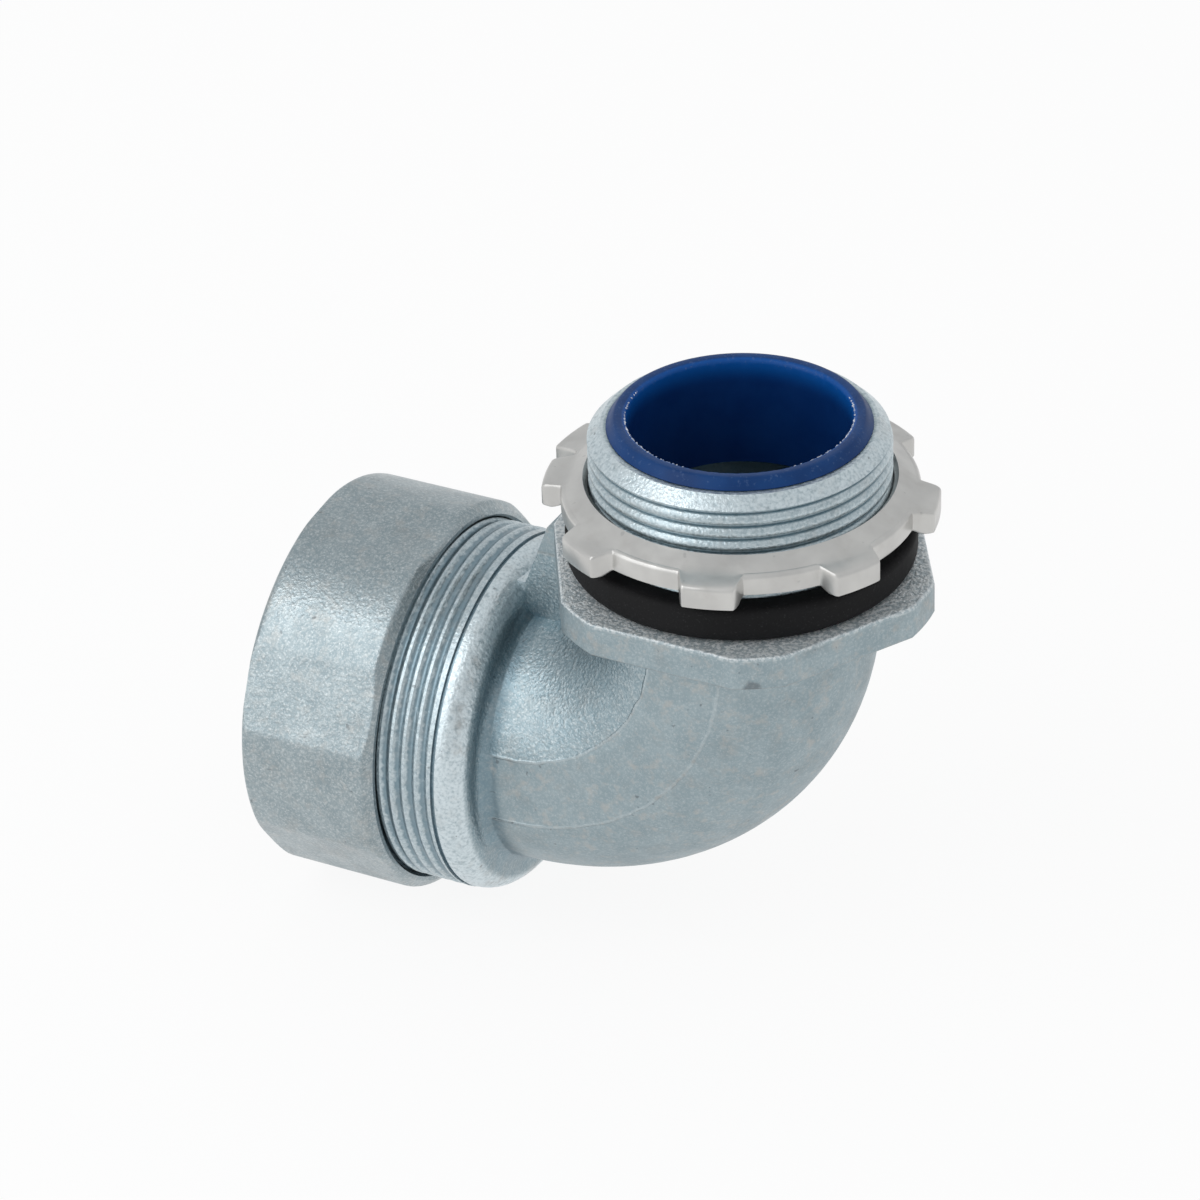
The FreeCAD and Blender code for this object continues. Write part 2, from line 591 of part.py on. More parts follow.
def make_sealing_ring():
    """The compression ring: a flange against the nut's shoulder and a tapered nose that enters the socket."""
    body = new_body("sealing_ring")
    sketch = gland_sketch(body, "sealing_ring_section")
    back = "-" + NUT_SHOULDER
    front = back + " + size.ring_flange"
    nose = SOCKET_RADIUS + " - size.ring_clearance"
    bore = nose + " - size.ring_wall"
    outline(sketch, [
        (back, bore),
        ("-" + SPIGOT_END + " + size.ring_entry", bore),
        ("-" + SPIGOT_END + " + size.ring_entry", nose),
        (front + " + size.socket_taper", nose),
        (front, nose + " + size.socket_flare"),
        (front, NUT_THREAD + " - size.ring_clearance"),
        (back, NUT_THREAD + " - size.ring_clearance"),
    ])
    turned(body, "ring_form", "Revolution", sketch, "H_Axis")
    return body


def make_conduit_ferrule():
    """The ferrule: a flange on the socket's floor and a sleeve that goes inside the conduit."""
    body = new_body("conduit_ferrule")
    sketch = gland_sketch(body, "ferrule_section")
    seat = "-" + SOCKET_FLOOR
    end = seat + " - size.ferrule_length"
    sleeve = "size.ferrule_bore / 2 + size.ferrule_wall"
    outline(sketch, [
        (seat, "size.ferrule_bore / 2"),
        (seat, SOCKET_RADIUS + " - size.ferrule_clearance"),
        (seat + " - size.ferrule_flange", SOCKET_RADIUS + " - size.ferrule_clearance"),
        (seat + " - size.ferrule_flange", sleeve),
        (end + " + 2 * size.ferrule_lead_in", sleeve),
        (end, sleeve + " - size.ferrule_lead_in"),
        (end, "size.ferrule_bore / 2"),
    ])
    turned(body, "ferrule", "Revolution", sketch, "H_Axis")
    return body


def check_document(bodies):
    """Stop if a feature failed or a piece has no sound solid."""
    for item in doc.Objects:
        if "Invalid" in item.State or "Error" in item.State:
            raise RuntimeError("%s failed: %s" % (item.Name, item.State))
    for body in bodies:
        if body.Shape.isNull() or not body.Shape.isValid() or len(body.Shape.Solids) != 1:
            raise RuntimeError("%s has no sound solid" % body.Label)


fill_sheet()
pieces = [
    make_elbow_body(),
    make_throat_liner(),
    make_sealing_gasket(),
    make_locknut(),
    make_gland_nut(),
    make_sealing_ring(),
    make_conduit_ferrule(),
]
doc.recompute()
check_document(pieces)
os.makedirs("parts", exist_ok=True)
for piece in pieces:
    piece.Shape.exportStep("parts/%s.step" % piece.Label)
    box = piece.Shape.BoundBox
    print("%-16s %8.0f mm3  x %7.2f %7.2f  y %7.2f %7.2f  z %7.2f %7.2f" % (
        piece.Label, piece.Shape.Volume, box.XMin, box.XMax, box.YMin, box.YMax, box.ZMin, box.ZMax))
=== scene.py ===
# %% [markdown]
# # Elbow conduit connector
# A right-angle connector takes flexible conduit into the wall of an electrical enclosure. This lesson dresses
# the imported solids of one: a plated casting with two threads, a pressed locknut, a rubber gasket, a blue
# liner and a six-sided gland nut. Solids and scene share one frame, so nothing has to be fitted. Blender
# works in metres here. Lengths are written in millimetres and multiplied by `MM` where they are used.

# %% Load the solids
import math
from types import SimpleNamespace
import bmesh
import bpy
import numpy as np
from mathutils import Matrix, Vector


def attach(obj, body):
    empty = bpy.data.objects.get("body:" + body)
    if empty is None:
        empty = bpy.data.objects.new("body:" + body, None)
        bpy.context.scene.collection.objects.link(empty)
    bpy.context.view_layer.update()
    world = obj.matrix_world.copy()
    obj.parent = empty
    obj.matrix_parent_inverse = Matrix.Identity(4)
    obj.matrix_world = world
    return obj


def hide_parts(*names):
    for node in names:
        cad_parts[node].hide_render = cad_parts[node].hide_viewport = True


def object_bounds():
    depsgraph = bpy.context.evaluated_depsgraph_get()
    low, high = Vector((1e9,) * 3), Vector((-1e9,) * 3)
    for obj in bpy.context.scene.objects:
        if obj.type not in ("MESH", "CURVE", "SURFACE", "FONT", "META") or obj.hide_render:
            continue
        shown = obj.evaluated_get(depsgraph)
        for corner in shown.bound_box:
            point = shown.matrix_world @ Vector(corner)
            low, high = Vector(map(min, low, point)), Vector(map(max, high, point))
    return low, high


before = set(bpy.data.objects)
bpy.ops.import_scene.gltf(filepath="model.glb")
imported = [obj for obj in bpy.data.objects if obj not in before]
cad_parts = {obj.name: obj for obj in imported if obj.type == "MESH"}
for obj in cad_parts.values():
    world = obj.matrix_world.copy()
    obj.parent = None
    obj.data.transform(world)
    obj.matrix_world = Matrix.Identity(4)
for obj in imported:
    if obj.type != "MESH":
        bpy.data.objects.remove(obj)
solid_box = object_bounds()
MM = 0.001
print("solids:", sorted(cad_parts))

# %% [markdown]
# ## Camera
# The photograph's viewpoint was found by fitting ellipses of the nipple, the flange and the nut. It comes
# down to a few named values: two angles, a small roll, a scale at the origin and a distance. The camera's
# axes are worked out from them and written as one matrix, which is clearer than three chained rotations.

# %% Set up the camera
AZIMUTH = math.radians(27.9)
ELEVATION = math.radians(31.72)
ROLL = math.radians(1.96)
PIXELS_PER_MM = 7.22
DISTANCE = 700.0
FRAME_PIXELS = 1200
ORIGIN_PIXEL = (741.83, 551.94)
SENSOR_WIDTH = 36.0


def add_object(name, data):
    """A new object in the scene."""
    piece = bpy.data.objects.new(name, data)
    bpy.context.collection.objects.link(piece)
    return piece


toward_camera = Vector((
    math.sin(AZIMUTH) * math.cos(ELEVATION),
    -math.cos(AZIMUTH) * math.cos(ELEVATION),
    math.sin(ELEVATION),
))
level_right = Vector((math.cos(AZIMUTH), math.sin(AZIMUTH), 0.0))
level_up = toward_camera.cross(level_right)
right = level_right * math.cos(ROLL) - level_up * math.sin(ROLL)
up = level_up * math.cos(ROLL) + level_right * math.sin(ROLL)
across = (ORIGIN_PIXEL[0] - FRAME_PIXELS / 2) / PIXELS_PER_MM
above = (FRAME_PIXELS / 2 - ORIGIN_PIXEL[1]) / PIXELS_PER_MM
viewpoint = (toward_camera * DISTANCE - right * across - up * above) * MM

camera_data = bpy.data.cameras.new("photo_camera")
camera_data.sensor_width = SENSOR_WIDTH
camera_data.lens = SENSOR_WIDTH * PIXELS_PER_MM * DISTANCE / FRAME_PIXELS
camera_data.clip_start = 0.01
camera_data.clip_end = 20.0
camera = add_object("photo_camera", camera_data)
facing = Matrix((right, up, toward_camera)).transposed().to_4x4()
camera.matrix_world = Matrix.Translation(viewpoint) @ facing
bpy.context.scene.camera = camera
print("lens %.1f mm" % camera_data.lens)

# %% [markdown]
# ## Node helpers
# Materials and Geometry Nodes are graphs, and small helpers keep their code readable. One adds a node and
# feeds its inputs, from plain values or from other sockets. The rest wrap the nodes that come up most often.
# A mask is a number from 0 to 1, so masks are combined by multiplying them.

# %% Define the node helpers
def feed(tree, socket, value):
    """Set a socket from a plain value, or link it from another socket."""
    if isinstance(value, bpy.types.NodeSocket):
        tree.links.new(value, socket)
    else:
        socket.default_value = value


def add_node(tree, kind, inputs=None, **settings):
    """Add a node, set its properties, and feed its inputs by name or by number."""
    node = tree.nodes.new(kind)
    for name, value in settings.items():
        setattr(node, name, value)
    for name, value in (inputs or {}).items():
        feed(tree, node.inputs[name], value)
    return node


def calculate(tree, operation, *values):
    """A Math node."""
    return add_node(tree, "ShaderNodeMath", dict(enumerate(values)), operation=operation).outputs[0]


def scale_add(tree, value, factor, offset):
    """A value times a factor, plus an offset."""
    return calculate(tree, "MULTIPLY_ADD", value, factor, offset)


def both(tree, *masks):
    """The product of masks."""
    result = masks[0]
    for mask in masks[1:]:
        result = calculate(tree, "MULTIPLY", result, mask)
    return result


def distance(tree, first, second):
    """The distance between two points."""
    node = add_node(tree, "ShaderNodeVectorMath", {0: first, 1: second}, operation="DISTANCE")
    return node.outputs["Value"]


def fade(tree, value, start, stop, low=0.0, high=1.0):
    """A smooth step from low at start to high at stop."""
    inputs = dict(enumerate((value, start, stop, low, high)))
    return add_node(tree, "ShaderNodeMapRange", inputs, interpolation_type="SMOOTHSTEP").outputs[0]


def fade_mm(tree, length, start, stop, low=0.0, high=1.0):
    """A smooth step on a length, with start and stop in millimetres."""
    return fade(tree, length, start * MM, stop * MM, low, high)


def near_mm(tree, length, middle, reach, core):
    """1 within a core round a middle length, falling to 0 at a reach, all in millimetres."""
    off = calculate(tree, "ABSOLUTE", calculate(tree, "SUBTRACT", length, middle * MM))
    return fade_mm(tree, off, reach, core)


def blend(tree, share, first, second):
    """Mix two colours."""
    return add_node(tree, "ShaderNodeMix", {0: share, 6: first, 7: second}, data_type="RGBA").outputs[2]


def tint(tree, colour, over, *masks):
    """Lay a colour over another, as far as the product of some masks goes."""
    return blend(tree, both(tree, *masks), colour, over)


def noise(tree, position, scale, detail=2.0, roughness=0.5):
    """Noise on a position; the scale is in cycles to the metre."""
    inputs = {"Vector": position, "Scale": scale, "Detail": detail, "Roughness": roughness}
    return add_node(tree, "ShaderNodeTexNoise", inputs).outputs[0]


def new_group(name, inputs, outputs, kind="ShaderNodeTree"):
    """An empty group with named sockets, and the sockets to build between."""
    group = bpy.data.node_groups.new(name, kind)
    for side, sockets in (("INPUT", inputs), ("OUTPUT", outputs)):
        for label, sort in sockets.items():
            group.interface.new_socket(label, in_out=side, socket_type="NodeSocket" + sort)
    return group, group.nodes.new("NodeGroupInput").outputs, group.nodes.new("NodeGroupOutput").inputs


print("node helpers are ready")

# %% [markdown]
# ## Shared surface effects
# Three of the finishes share the same effects, so an effect is a node group with named inputs. *Cast skin* is
# the pebbly surface that a casting keeps under its plating. *Marks* gives stains in patches and small dark
# pits. *Spot* is one smudge. A group gives only masks and heights, and each material keeps its own shader.

# %% Build the shader groups
PEBBLES_PER_GRAIN = 0.7
PEBBLE_SHARE = 0.55
GRIT_SHARE = 0.75
FLECKS_PER_GRAIN = 1.5
RAGGED_SCALE = 900.0


def build_cast_skin():
    """Pebbles and fine grit for a bump, their peaks for wear and a painted highlight, flecks for painted
    glints, and slow clouds for the tone.
    """
    group, given, result = new_group(
        "cast_skin", {"Position": "Vector", "Grain": "Float", "Cloud Scale": "Float"},
        {"Height": "Float", "Peaks": "Float", "Glints": "Float", "Clouds": "Float"})
    place, grain = given["Position"], given["Grain"]
    grit = noise(group, place, grain, 2.5, 0.6)
    cells = add_node(
        group, "ShaderNodeTexVoronoi", {"Vector": place, "Scale": both(group, grain, PEBBLES_PER_GRAIN)},
        feature="SMOOTH_F1")
    pebbles = calculate(group, "SUBTRACT", 1.0, cells.outputs["Distance"])
    height = scale_add(group, pebbles, PEBBLE_SHARE, both(group, grit, GRIT_SHARE))
    flecks = noise(group, place, both(group, grain, FLECKS_PER_GRAIN), 1.0)
    clouds = noise(group, place, given["Cloud Scale"], 3.0)
    feed(group, result["Height"], height)
    feed(group, result["Peaks"], fade(group, height, 0.52, 0.98))
    feed(group, result["Glints"], fade(group, flecks, 0.54, 0.72))
    feed(group, result["Clouds"], fade(group, clouds, 0.3, 0.7))
    return group


def build_marks():
    """Stains in uneven patches, and pits that are few and small."""
    group, given, result = new_group(
        "marks", {"Position": "Vector", "Patch Scale": "Float", "Pit Scale": "Float"},
        {"Stain": "Float", "Pits": "Float"})
    patches = noise(group, given["Position"], given["Patch Scale"], 4.0, 0.65)
    pits = noise(group, given["Position"], given["Pit Scale"], 1.0)
    feed(group, result["Stain"], fade(group, patches, 0.5, 0.72))
    feed(group, result["Pits"], fade(group, pits, 0.74, 0.80))
    return group


def build_spot():
    """A smudge with a ragged edge."""
    group, given, result = new_group(
        "spot", {"Position": "Vector", "Centre": "Vector", "Radius": "Float"}, {"Mask": "Float"})
    apart = distance(group, given["Position"], given["Centre"])
    ragged = scale_add(group, noise(group, given["Position"], RAGGED_SCALE), 0.9, 0.55)
    share = calculate(group, "DIVIDE", apart, both(group, given["Radius"], ragged))
    feed(group, result["Mask"], fade(group, share, 1.0, 0.55))
    return group


cast_skin = build_cast_skin()
marks = build_marks()
spot = build_spot()
print("shader groups:", [group.name for group in (cast_skin, marks, spot)])

# %% [markdown]
# ## Plated metals
# The casting and the gland nut are plated in bluish zinc over a cast skin, rough enough to scatter the light,
# with glints where a pebble faces the lamp. A picture of metal could be wrapped round them, but a graph stays
# sharp at any size and needs no unwrapping. So the colour is built from the grain itself: clouds of two
# tones, painted shade in blue-grey in the hollows, peaks made bright by wear and a painted highlight, and
# painted glints on fine flecks.

# %% Define what the metals share
GRAIN = 2800.0
ZINC_LIGHT = (0.400, 0.447, 0.458, 1.0)
ZINC_DARK = (0.335, 0.380, 0.392, 1.0)
# The peak colour serves wear and a painted highlight, the glint colour painted glints, the hollow colour
# painted shade.
ZINC_PEAK = (0.62, 0.67, 0.68, 1.0)
ZINC_GLINT = (0.86, 0.90, 0.91, 1.0)
ZINC_BLUE = (0.325, 0.430, 0.475, 1.0)
ZINC_HOLLOW_SHADE = (0.140, 0.225, 0.275, 1.0)
ZINC_WORN = (0.69, 0.775, 0.81, 1.0)
MOTTLE_BEIGE = (0.50, 0.49, 0.465, 1.0)
STAIN_BROWN = (0.30, 0.27, 0.24, 1.0)
PIT_DARK = (0.10, 0.11, 0.12, 1.0)
ZINC_METALLIC = 0.85
HOLLOW_SHARE = 0.32
PEAK_SHARE = 0.40
GLINT_SHARE = 0.30


def new_material(name):
    """A material with its Principled shader, and the Object coordinates of the surface."""
    material = bpy.data.materials.new(name)
    material.use_nodes = True
    tree = material.node_tree
    position = add_node(tree, "ShaderNodeTexCoord").outputs["Object"]
    return material, tree, tree.nodes["Principled BSDF"], position


def use_group(tree, group, **inputs):
    """Place a group and set its inputs by name; underscores stand for spaces."""
    named = {name.replace("_", " "): value for name, value in inputs.items()}
    return add_node(tree, "ShaderNodeGroup", named, node_tree=group).outputs


def put_bump(tree, shader, height, depth):
    """Turn a height into the shader's normal; the depth is in millimetres."""
    inputs = {"Strength": 1.0, "Distance": depth * MM, "Height": height}
    feed(tree, shader.inputs["Normal"], add_node(tree, "ShaderNodeBump", inputs).outputs["Normal"])


def put_surface(tree, shader, colour, roughness, metallic=0.0):
    """Set the shader's main inputs."""
    feed(tree, shader.inputs["Base Color"], colour)
    feed(tree, shader.inputs["Roughness"], roughness)
    feed(tree, shader.inputs["Metallic"], metallic)


def plating_roughness(tree, skin):
    """Plating is a little smoother where its clouds are light."""
    return scale_add(tree, skin["Clouds"], -0.06, 0.36)


def grain_colour(tree, skin, contrast, bluish):
    """The plating's colour: clouds of two tones, painted shade in the hollows, peaks brightened as wear and
    painted highlight, and painted glints of the grain.
    """
    colour = blend(tree, skin["Clouds"], ZINC_DARK, ZINC_LIGHT)
    colour = tint(tree, colour, ZINC_BLUE, bluish)
    # Painted shade in the grain's hollows, peaks brightened as wear and painted highlight, painted glints on
    # flecks.
    hollows = calculate(tree, "SUBTRACT", 1.0, skin["Peaks"])
    colour = tint(tree, colour, ZINC_HOLLOW_SHADE, hollows, contrast, HOLLOW_SHARE)
    peaks = calculate(tree, "POWER", skin["Peaks"], 2.0)
    colour = tint(tree, colour, ZINC_PEAK, peaks, contrast, PEAK_SHARE)
    return tint(tree, colour, ZINC_GLINT, skin["Glints"], contrast, GLINT_SHARE)


print("zinc is %.0f %% metallic" % (100 * ZINC_METALLIC))

# %% [markdown]
# ## Areas of the casting
# The casting's skin isn't even. The inner part of the bend, the flange's top and the threads are coarse, and
# the sides that the mould closed on are finer, with two thin seams along them. These areas could be painted
# by hand. They follow simple rules of place, though, such as the distance from the bend's axis, so they are
# masks on Object coordinates. Each pair below says where a mask starts and where it is full.

# %% Define the casting's areas
BEND_AXIS = (-29.1, -6.6)
BEND_STEP = 23.75
OUTER_SEAM = 34.45
GLAND_DROP = -35.7
NIPPLE_CREST = 20.955
SPIGOT_CREST = 26.5
COLLAR_START = -36.2
COLLAR_BAND = -33.1
FLANGE_UNDER = -5.0
FLANGE_RIM = -0.25
BELOW_FLANGE = (FLANGE_UNDER, FLANGE_UNDER - 0.3)
BELOW_TOP = (-0.30, -0.50)
PAST_COLLAR = (-31.5, -30.0)
PAST_STEP = (BEND_STEP - 0.15, BEND_STEP + 0.15)
PAST_FLANGE_EDGE = (25.0, 25.5)
PAST_FLANGE_FOOT = (23.8, 24.4)
NIPPLE_VALLEY = (NIPPLE_CREST - 0.35, NIPPLE_CREST - 0.60)
NIPPLE_THREAD_FOOT = (0.3, 0.6)
NIPPLE_THREAD_TOP = (19.2, 18.8)
SPIGOT_VALLEY = (SPIGOT_CREST - 0.15, SPIGOT_CREST - 0.38)
SPIGOT_SIDE = (COLLAR_START + 0.3, COLLAR_START)
COLLAR_OUTSIDE = (23.4, 24.6)
COLLAR_FACE = (-31.8, -32.5)
COLLAR_SIDE = (COLLAR_START, COLLAR_START + 0.1)
NIPPLE_OUTSIDE = (18.4, 18.8)
ABOVE_GASKET = (5.0, 6.0)
NIPPLE_END = (17.5, 18.9)
HOLLOW_FRONT = (-32.6, -31.4)
HOLLOW_BACK = (-28.4, -30.2)
HOLLOW_OUTSIDE = (19.0, 20.0)
HOLLOW_TOP = (-13.0, -15.0)


def distance_in_plane(tree, first, second, centre=(0.0, 0.0)):
    """The distance from an axis, by the two coordinates across it; the centre is in millimetres."""
    flat = add_node(tree, "ShaderNodeCombineXYZ", {"X": first, "Y": second}).outputs[0]
    return distance(tree, flat, (centre[0] * MM, centre[1] * MM, 0.0))


def shift_mm(tree, length, position, scale, spread):
    """A length that wanders by up to half a spread to each side, in millimetres."""
    wander = scale_add(tree, noise(tree, position, scale), spread * MM, -spread / 2 * MM)
    return calculate(tree, "ADD", length, wander)


def thread_valleys(tree, at):
    """1 in the valleys of the two threads; the spigot's crests are ragged."""
    nipple = both(
        tree, fade_mm(tree, at.from_nipple, *NIPPLE_VALLEY),
        fade_mm(tree, at.z, *NIPPLE_THREAD_FOOT), fade_mm(tree, at.z, *NIPPLE_THREAD_TOP))
    ragged = shift_mm(tree, at.from_gland, at.position, 1100.0, 0.50)
    spigot = both(tree, fade_mm(tree, ragged, *SPIGOT_VALLEY), fade_mm(tree, at.x, *SPIGOT_SIDE))
    return calculate(tree, "MAXIMUM", nipple, spigot)


def worn_places(tree, at):
    """High on the collar and at the nipple's end, which are rubbed bright, and lower on the threads."""
    collar = both(
        tree, fade_mm(tree, at.from_gland, *COLLAR_OUTSIDE), fade_mm(tree, at.x, *COLLAR_FACE),
        fade_mm(tree, at.x, *COLLAR_SIDE, 0.55, 1.0))
    nipple = both(
        tree, fade_mm(tree, at.from_nipple, *NIPPLE_OUTSIDE), fade_mm(tree, at.z, *ABOVE_GASKET),
        fade_mm(tree, at.z, *NIPPLE_END, 0.5, 0.9))
    return calculate(tree, "MAXIMUM", collar, nipple)


def collar_hollow(tree, at):
    """1 in the hollow where the collar meets the bend."""
    return both(
        tree, fade_mm(tree, at.x, *HOLLOW_FRONT), fade_mm(tree, at.x, *HOLLOW_BACK),
        fade_mm(tree, at.from_gland, *HOLLOW_OUTSIDE), fade_mm(tree, at.z, *HOLLOW_TOP))


def parting_lines(tree, at):
    """1 on the two fine seams that run along the side of the bend, not quite evenly."""
    uneven = shift_mm(tree, at.from_bend, at.position, 380.0, 0.7)
    inner = near_mm(tree, uneven, BEND_STEP, 0.34, 0.10)
    outer = near_mm(tree, uneven, OUTER_SEAM, 0.34, 0.10)
    return both(tree, calculate(tree, "MAXIMUM", inner, outer), at.on_bend)


def casting_areas(tree, position):
    """The coordinates of a point on the casting, and the masks that come from them."""
    x, y, z = add_node(tree, "ShaderNodeSeparateXYZ", {0: position}).outputs
    at = SimpleNamespace(position=position, x=x, z=z)
    at.from_nipple = distance_in_plane(tree, x, y)
    at.from_gland = distance_in_plane(tree, y, z, (0.0, GLAND_DROP))
    at.from_bend = distance_in_plane(tree, x, z, BEND_AXIS)
    below = fade_mm(tree, z, *BELOW_FLANGE)
    at.on_bend = both(tree, below, fade_mm(tree, x, *PAST_COLLAR))
    smooth_bend = both(tree, at.on_bend, fade_mm(tree, at.from_bend, *PAST_STEP))
    flange_side = both(tree, fade_mm(tree, z, *BELOW_TOP), calculate(tree, "SUBTRACT", 1.0, below))
    at.smooth = calculate(tree, "MAXIMUM", smooth_bend, flange_side)
    at.flange_top = near_mm(tree, z, 0.0, 0.30, 0.10)
    at.flange_rim = both(
        tree, fade_mm(tree, at.from_nipple, *PAST_FLANGE_EDGE), near_mm(tree, z, FLANGE_RIM, 0.45, 0.15))
    at.flange_foot = both(
        tree, fade_mm(tree, at.from_nipple, *PAST_FLANGE_FOOT), near_mm(tree, z, FLANGE_UNDER, 0.45, 0.12))
    at.collar_band = near_mm(tree, x, COLLAR_BAND, 1.2, 0.3)
    at.valleys = thread_valleys(tree, at)
    at.worn = worn_places(tree, at)
    at.hollow = collar_hollow(tree, at)
    at.seams = parting_lines(tree, at)
    return at


print("bend's axis at x %.1f, z %.1f mm" % BEND_AXIS)

# %% [markdown]
# ## The casting's plating
# The real plating is thin and has seen some use: rubbed bright on the collar, the nipple and the flange's
# rim, mottled on the smooth sides. The seams carry a painted highlight and are browner in patches. Painted
# shade darkens the thread valleys and the collar's hollow, and the flange's top is painted lighter against
# the gasket's shade, with painted glints. Each of these is one colour laid over the last through its mask.
# The bump is weaker on the smooth sides and stronger on the flange's top.

# %% Make the casting's plating
SMUDGE_PLACE = Vector((13.0, -24.2, -4.8)) * MM
SMUDGE_RADIUS = 1.5 * MM
VALLEY_SHADE = 0.78
HOLLOW_SHADE = 0.6
SEAM_PAINTED_HIGHLIGHT = 0.25
SEAM_BROWNING = 0.5
PIT_SHARE = 0.5
SMUDGE_SHARE = 0.55


def make_casting_plating():
    """Cast skin under plating, with wear, painted shade and light, seams, mottling, stains and a smudge."""
    material, tree, shader, position = new_material("plated_casting_finish")
    at = casting_areas(tree, position)
    skin = use_group(tree, cast_skin, Position=position, Grain=GRAIN, Cloud_Scale=240.0)
    found = use_group(tree, marks, Position=position, Patch_Scale=200.0, Pit_Scale=900.0)
    mottle = use_group(tree, marks, Position=position, Patch_Scale=520.0, Pit_Scale=1600.0)
    smudge = use_group(tree, spot, Position=position, Centre=SMUDGE_PLACE, Radius=SMUDGE_RADIUS)
    height = skin["Height"]
    depth = calculate(tree, "ADD", at.flange_top, scale_add(tree, at.smooth, -0.50, 1.0))
    depth = scale_add(tree, at.valleys, -0.6, depth)
    put_bump(tree, shader, scale_add(tree, at.seams, 0.8, both(tree, height, depth)), 0.10)

    colour = grain_colour(tree, skin, depth, scale_add(tree, at.smooth, -0.2, 0.7))
    colour = tint(tree, colour, ZINC_WORN, fade(tree, height, 0.15, 0.90), at.worn)
    # Painted shade: the thread valleys and the collar's hollow are darkened to blue-grey.
    shade = calculate(
        tree, "MAXIMUM", both(tree, at.valleys, VALLEY_SHADE), both(tree, at.hollow, HOLLOW_SHADE))
    colour = tint(tree, colour, ZINC_HOLLOW_SHADE, shade)
    # Painted light: the flange's top is lightened against the gasket's shade, with painted glints on its
    # grain.
    colour = tint(tree, colour, ZINC_GLINT, at.flange_top, fade(tree, height, 0.60, 0.80, 0.30, 1.0))
    # A painted highlight along the seams, and a brown darkening in patches there.
    colour = tint(tree, colour, ZINC_PEAK, at.seams, SEAM_PAINTED_HIGHLIGHT)
    colour = tint(tree, colour, STAIN_BROWN, at.seams, found["Stain"], SEAM_BROWNING)
    colour = tint(tree, colour, MOTTLE_BEIGE, mottle["Stain"], scale_add(tree, at.smooth, 0.40, 0.15))
    colour = tint(tree, colour, STAIN_BROWN, found["Stain"], scale_add(tree, at.collar_band, 0.35, 0.16))
    colour = tint(tree, colour, PIT_DARK, found["Pits"], PIT_SHARE)
    colour = tint(tree, colour, ZINC_PEAK, at.flange_rim, fade(tree, height, 0.60, 0.85, 0.15, 0.65))
    colour = tint(tree, colour, STAIN_BROWN, at.flange_foot, scale_add(tree, found["Stain"], 0.45, 0.22))
    colour = tint(tree, colour, PIT_DARK, smudge["Mask"], SMUDGE_SHARE)
    put_surface(
        tree, shader, colour, scale_add(tree, at.smooth, 0.12, plating_roughness(tree, skin)),
        scale_add(tree, at.flange_top, -0.55, ZINC_METALLIC))
    return material


casting_plating = make_casting_plating()
print("made", casting_plating.name)

# %% [markdown]
# ## The gland nut's plating
# The nut has the same plating on a skin that is even all over, so it needs no masks of place. Its grain is a
# little shallower than the casting's.

# %% Make the nut's plating
def make_nut_plating():
    """An even cast skin under plating, with mottling, stains and pits."""
    material, tree, shader, position = new_material("plated_nut_finish")
    skin = use_group(tree, cast_skin, Position=position, Grain=GRAIN, Cloud_Scale=200.0)
    found = use_group(tree, marks, Position=position, Patch_Scale=180.0, Pit_Scale=800.0)
    mottle = use_group(tree, marks, Position=position, Patch_Scale=480.0, Pit_Scale=1500.0)
    put_bump(tree, shader, skin["Height"], 0.08)
    # The grain's colour holds painted shade, a painted highlight and painted glints, as on the casting.
    colour = grain_colour(tree, skin, 0.95, 0.15)
    colour = tint(tree, colour, MOTTLE_BEIGE, mottle["Stain"], 0.35)
    colour = tint(tree, colour, STAIN_BROWN, found["Stain"], 0.18)
    colour = tint(tree, colour, PIT_DARK, found["Pits"], PIT_SHARE)
    put_surface(tree, shader, colour, plating_roughness(tree, skin), ZINC_METALLIC)
    return material


nut_plating = make_nut_plating()
print("made", nut_plating.name)

# %% [markdown]
# ## The locknut's plating
# The locknut is smoother than the casting: a satin plating with a warm tone, which mirrors the foot of the
# nipple softly. It is slightly wavy rather than grainy, so its bump is slow noise with a trace of the skin.

# %% Make the locknut's plating
LOCKNUT_DARK = (0.535, 0.53, 0.515, 1.0)
LOCKNUT_LIGHT = (0.63, 0.625, 0.605, 1.0)
LOCKNUT_METALLIC = 0.75


def make_locknut_plating():
    """Satin plating on slightly wavy metal."""
    material, tree, shader, position = new_material("locknut_finish")
    skin = use_group(tree, cast_skin, Position=position, Grain=900.0, Cloud_Scale=160.0)
    found = use_group(tree, marks, Position=position, Patch_Scale=260.0, Pit_Scale=700.0)
    put_bump(tree, shader, scale_add(tree, skin["Height"], 0.05, noise(tree, position, 170.0, 1.0)), 0.45)
    colour = blend(tree, skin["Clouds"], LOCKNUT_DARK, LOCKNUT_LIGHT)
    colour = tint(tree, colour, STAIN_BROWN, found["Stain"], 0.12)
    colour = tint(tree, colour, PIT_DARK, found["Pits"], 0.2)
    put_surface(tree, shader, colour, scale_add(tree, skin["Clouds"], 0.06, 0.28), LOCKNUT_METALLIC)
    return material


locknut_plating = make_locknut_plating()
print("made", locknut_plating.name)

# %% [markdown]
# ## The liner's plastic
# The liner is moulded in a strong blue. A plain blue looks painted, so painted shade darkens the bore, a
# painted glow lies where light passes the thin inner edge, and the lip is scuffed. Real translucency would
# do the same at a much higher cost. The shreds on the lip are the same plastic, torn and whitened.

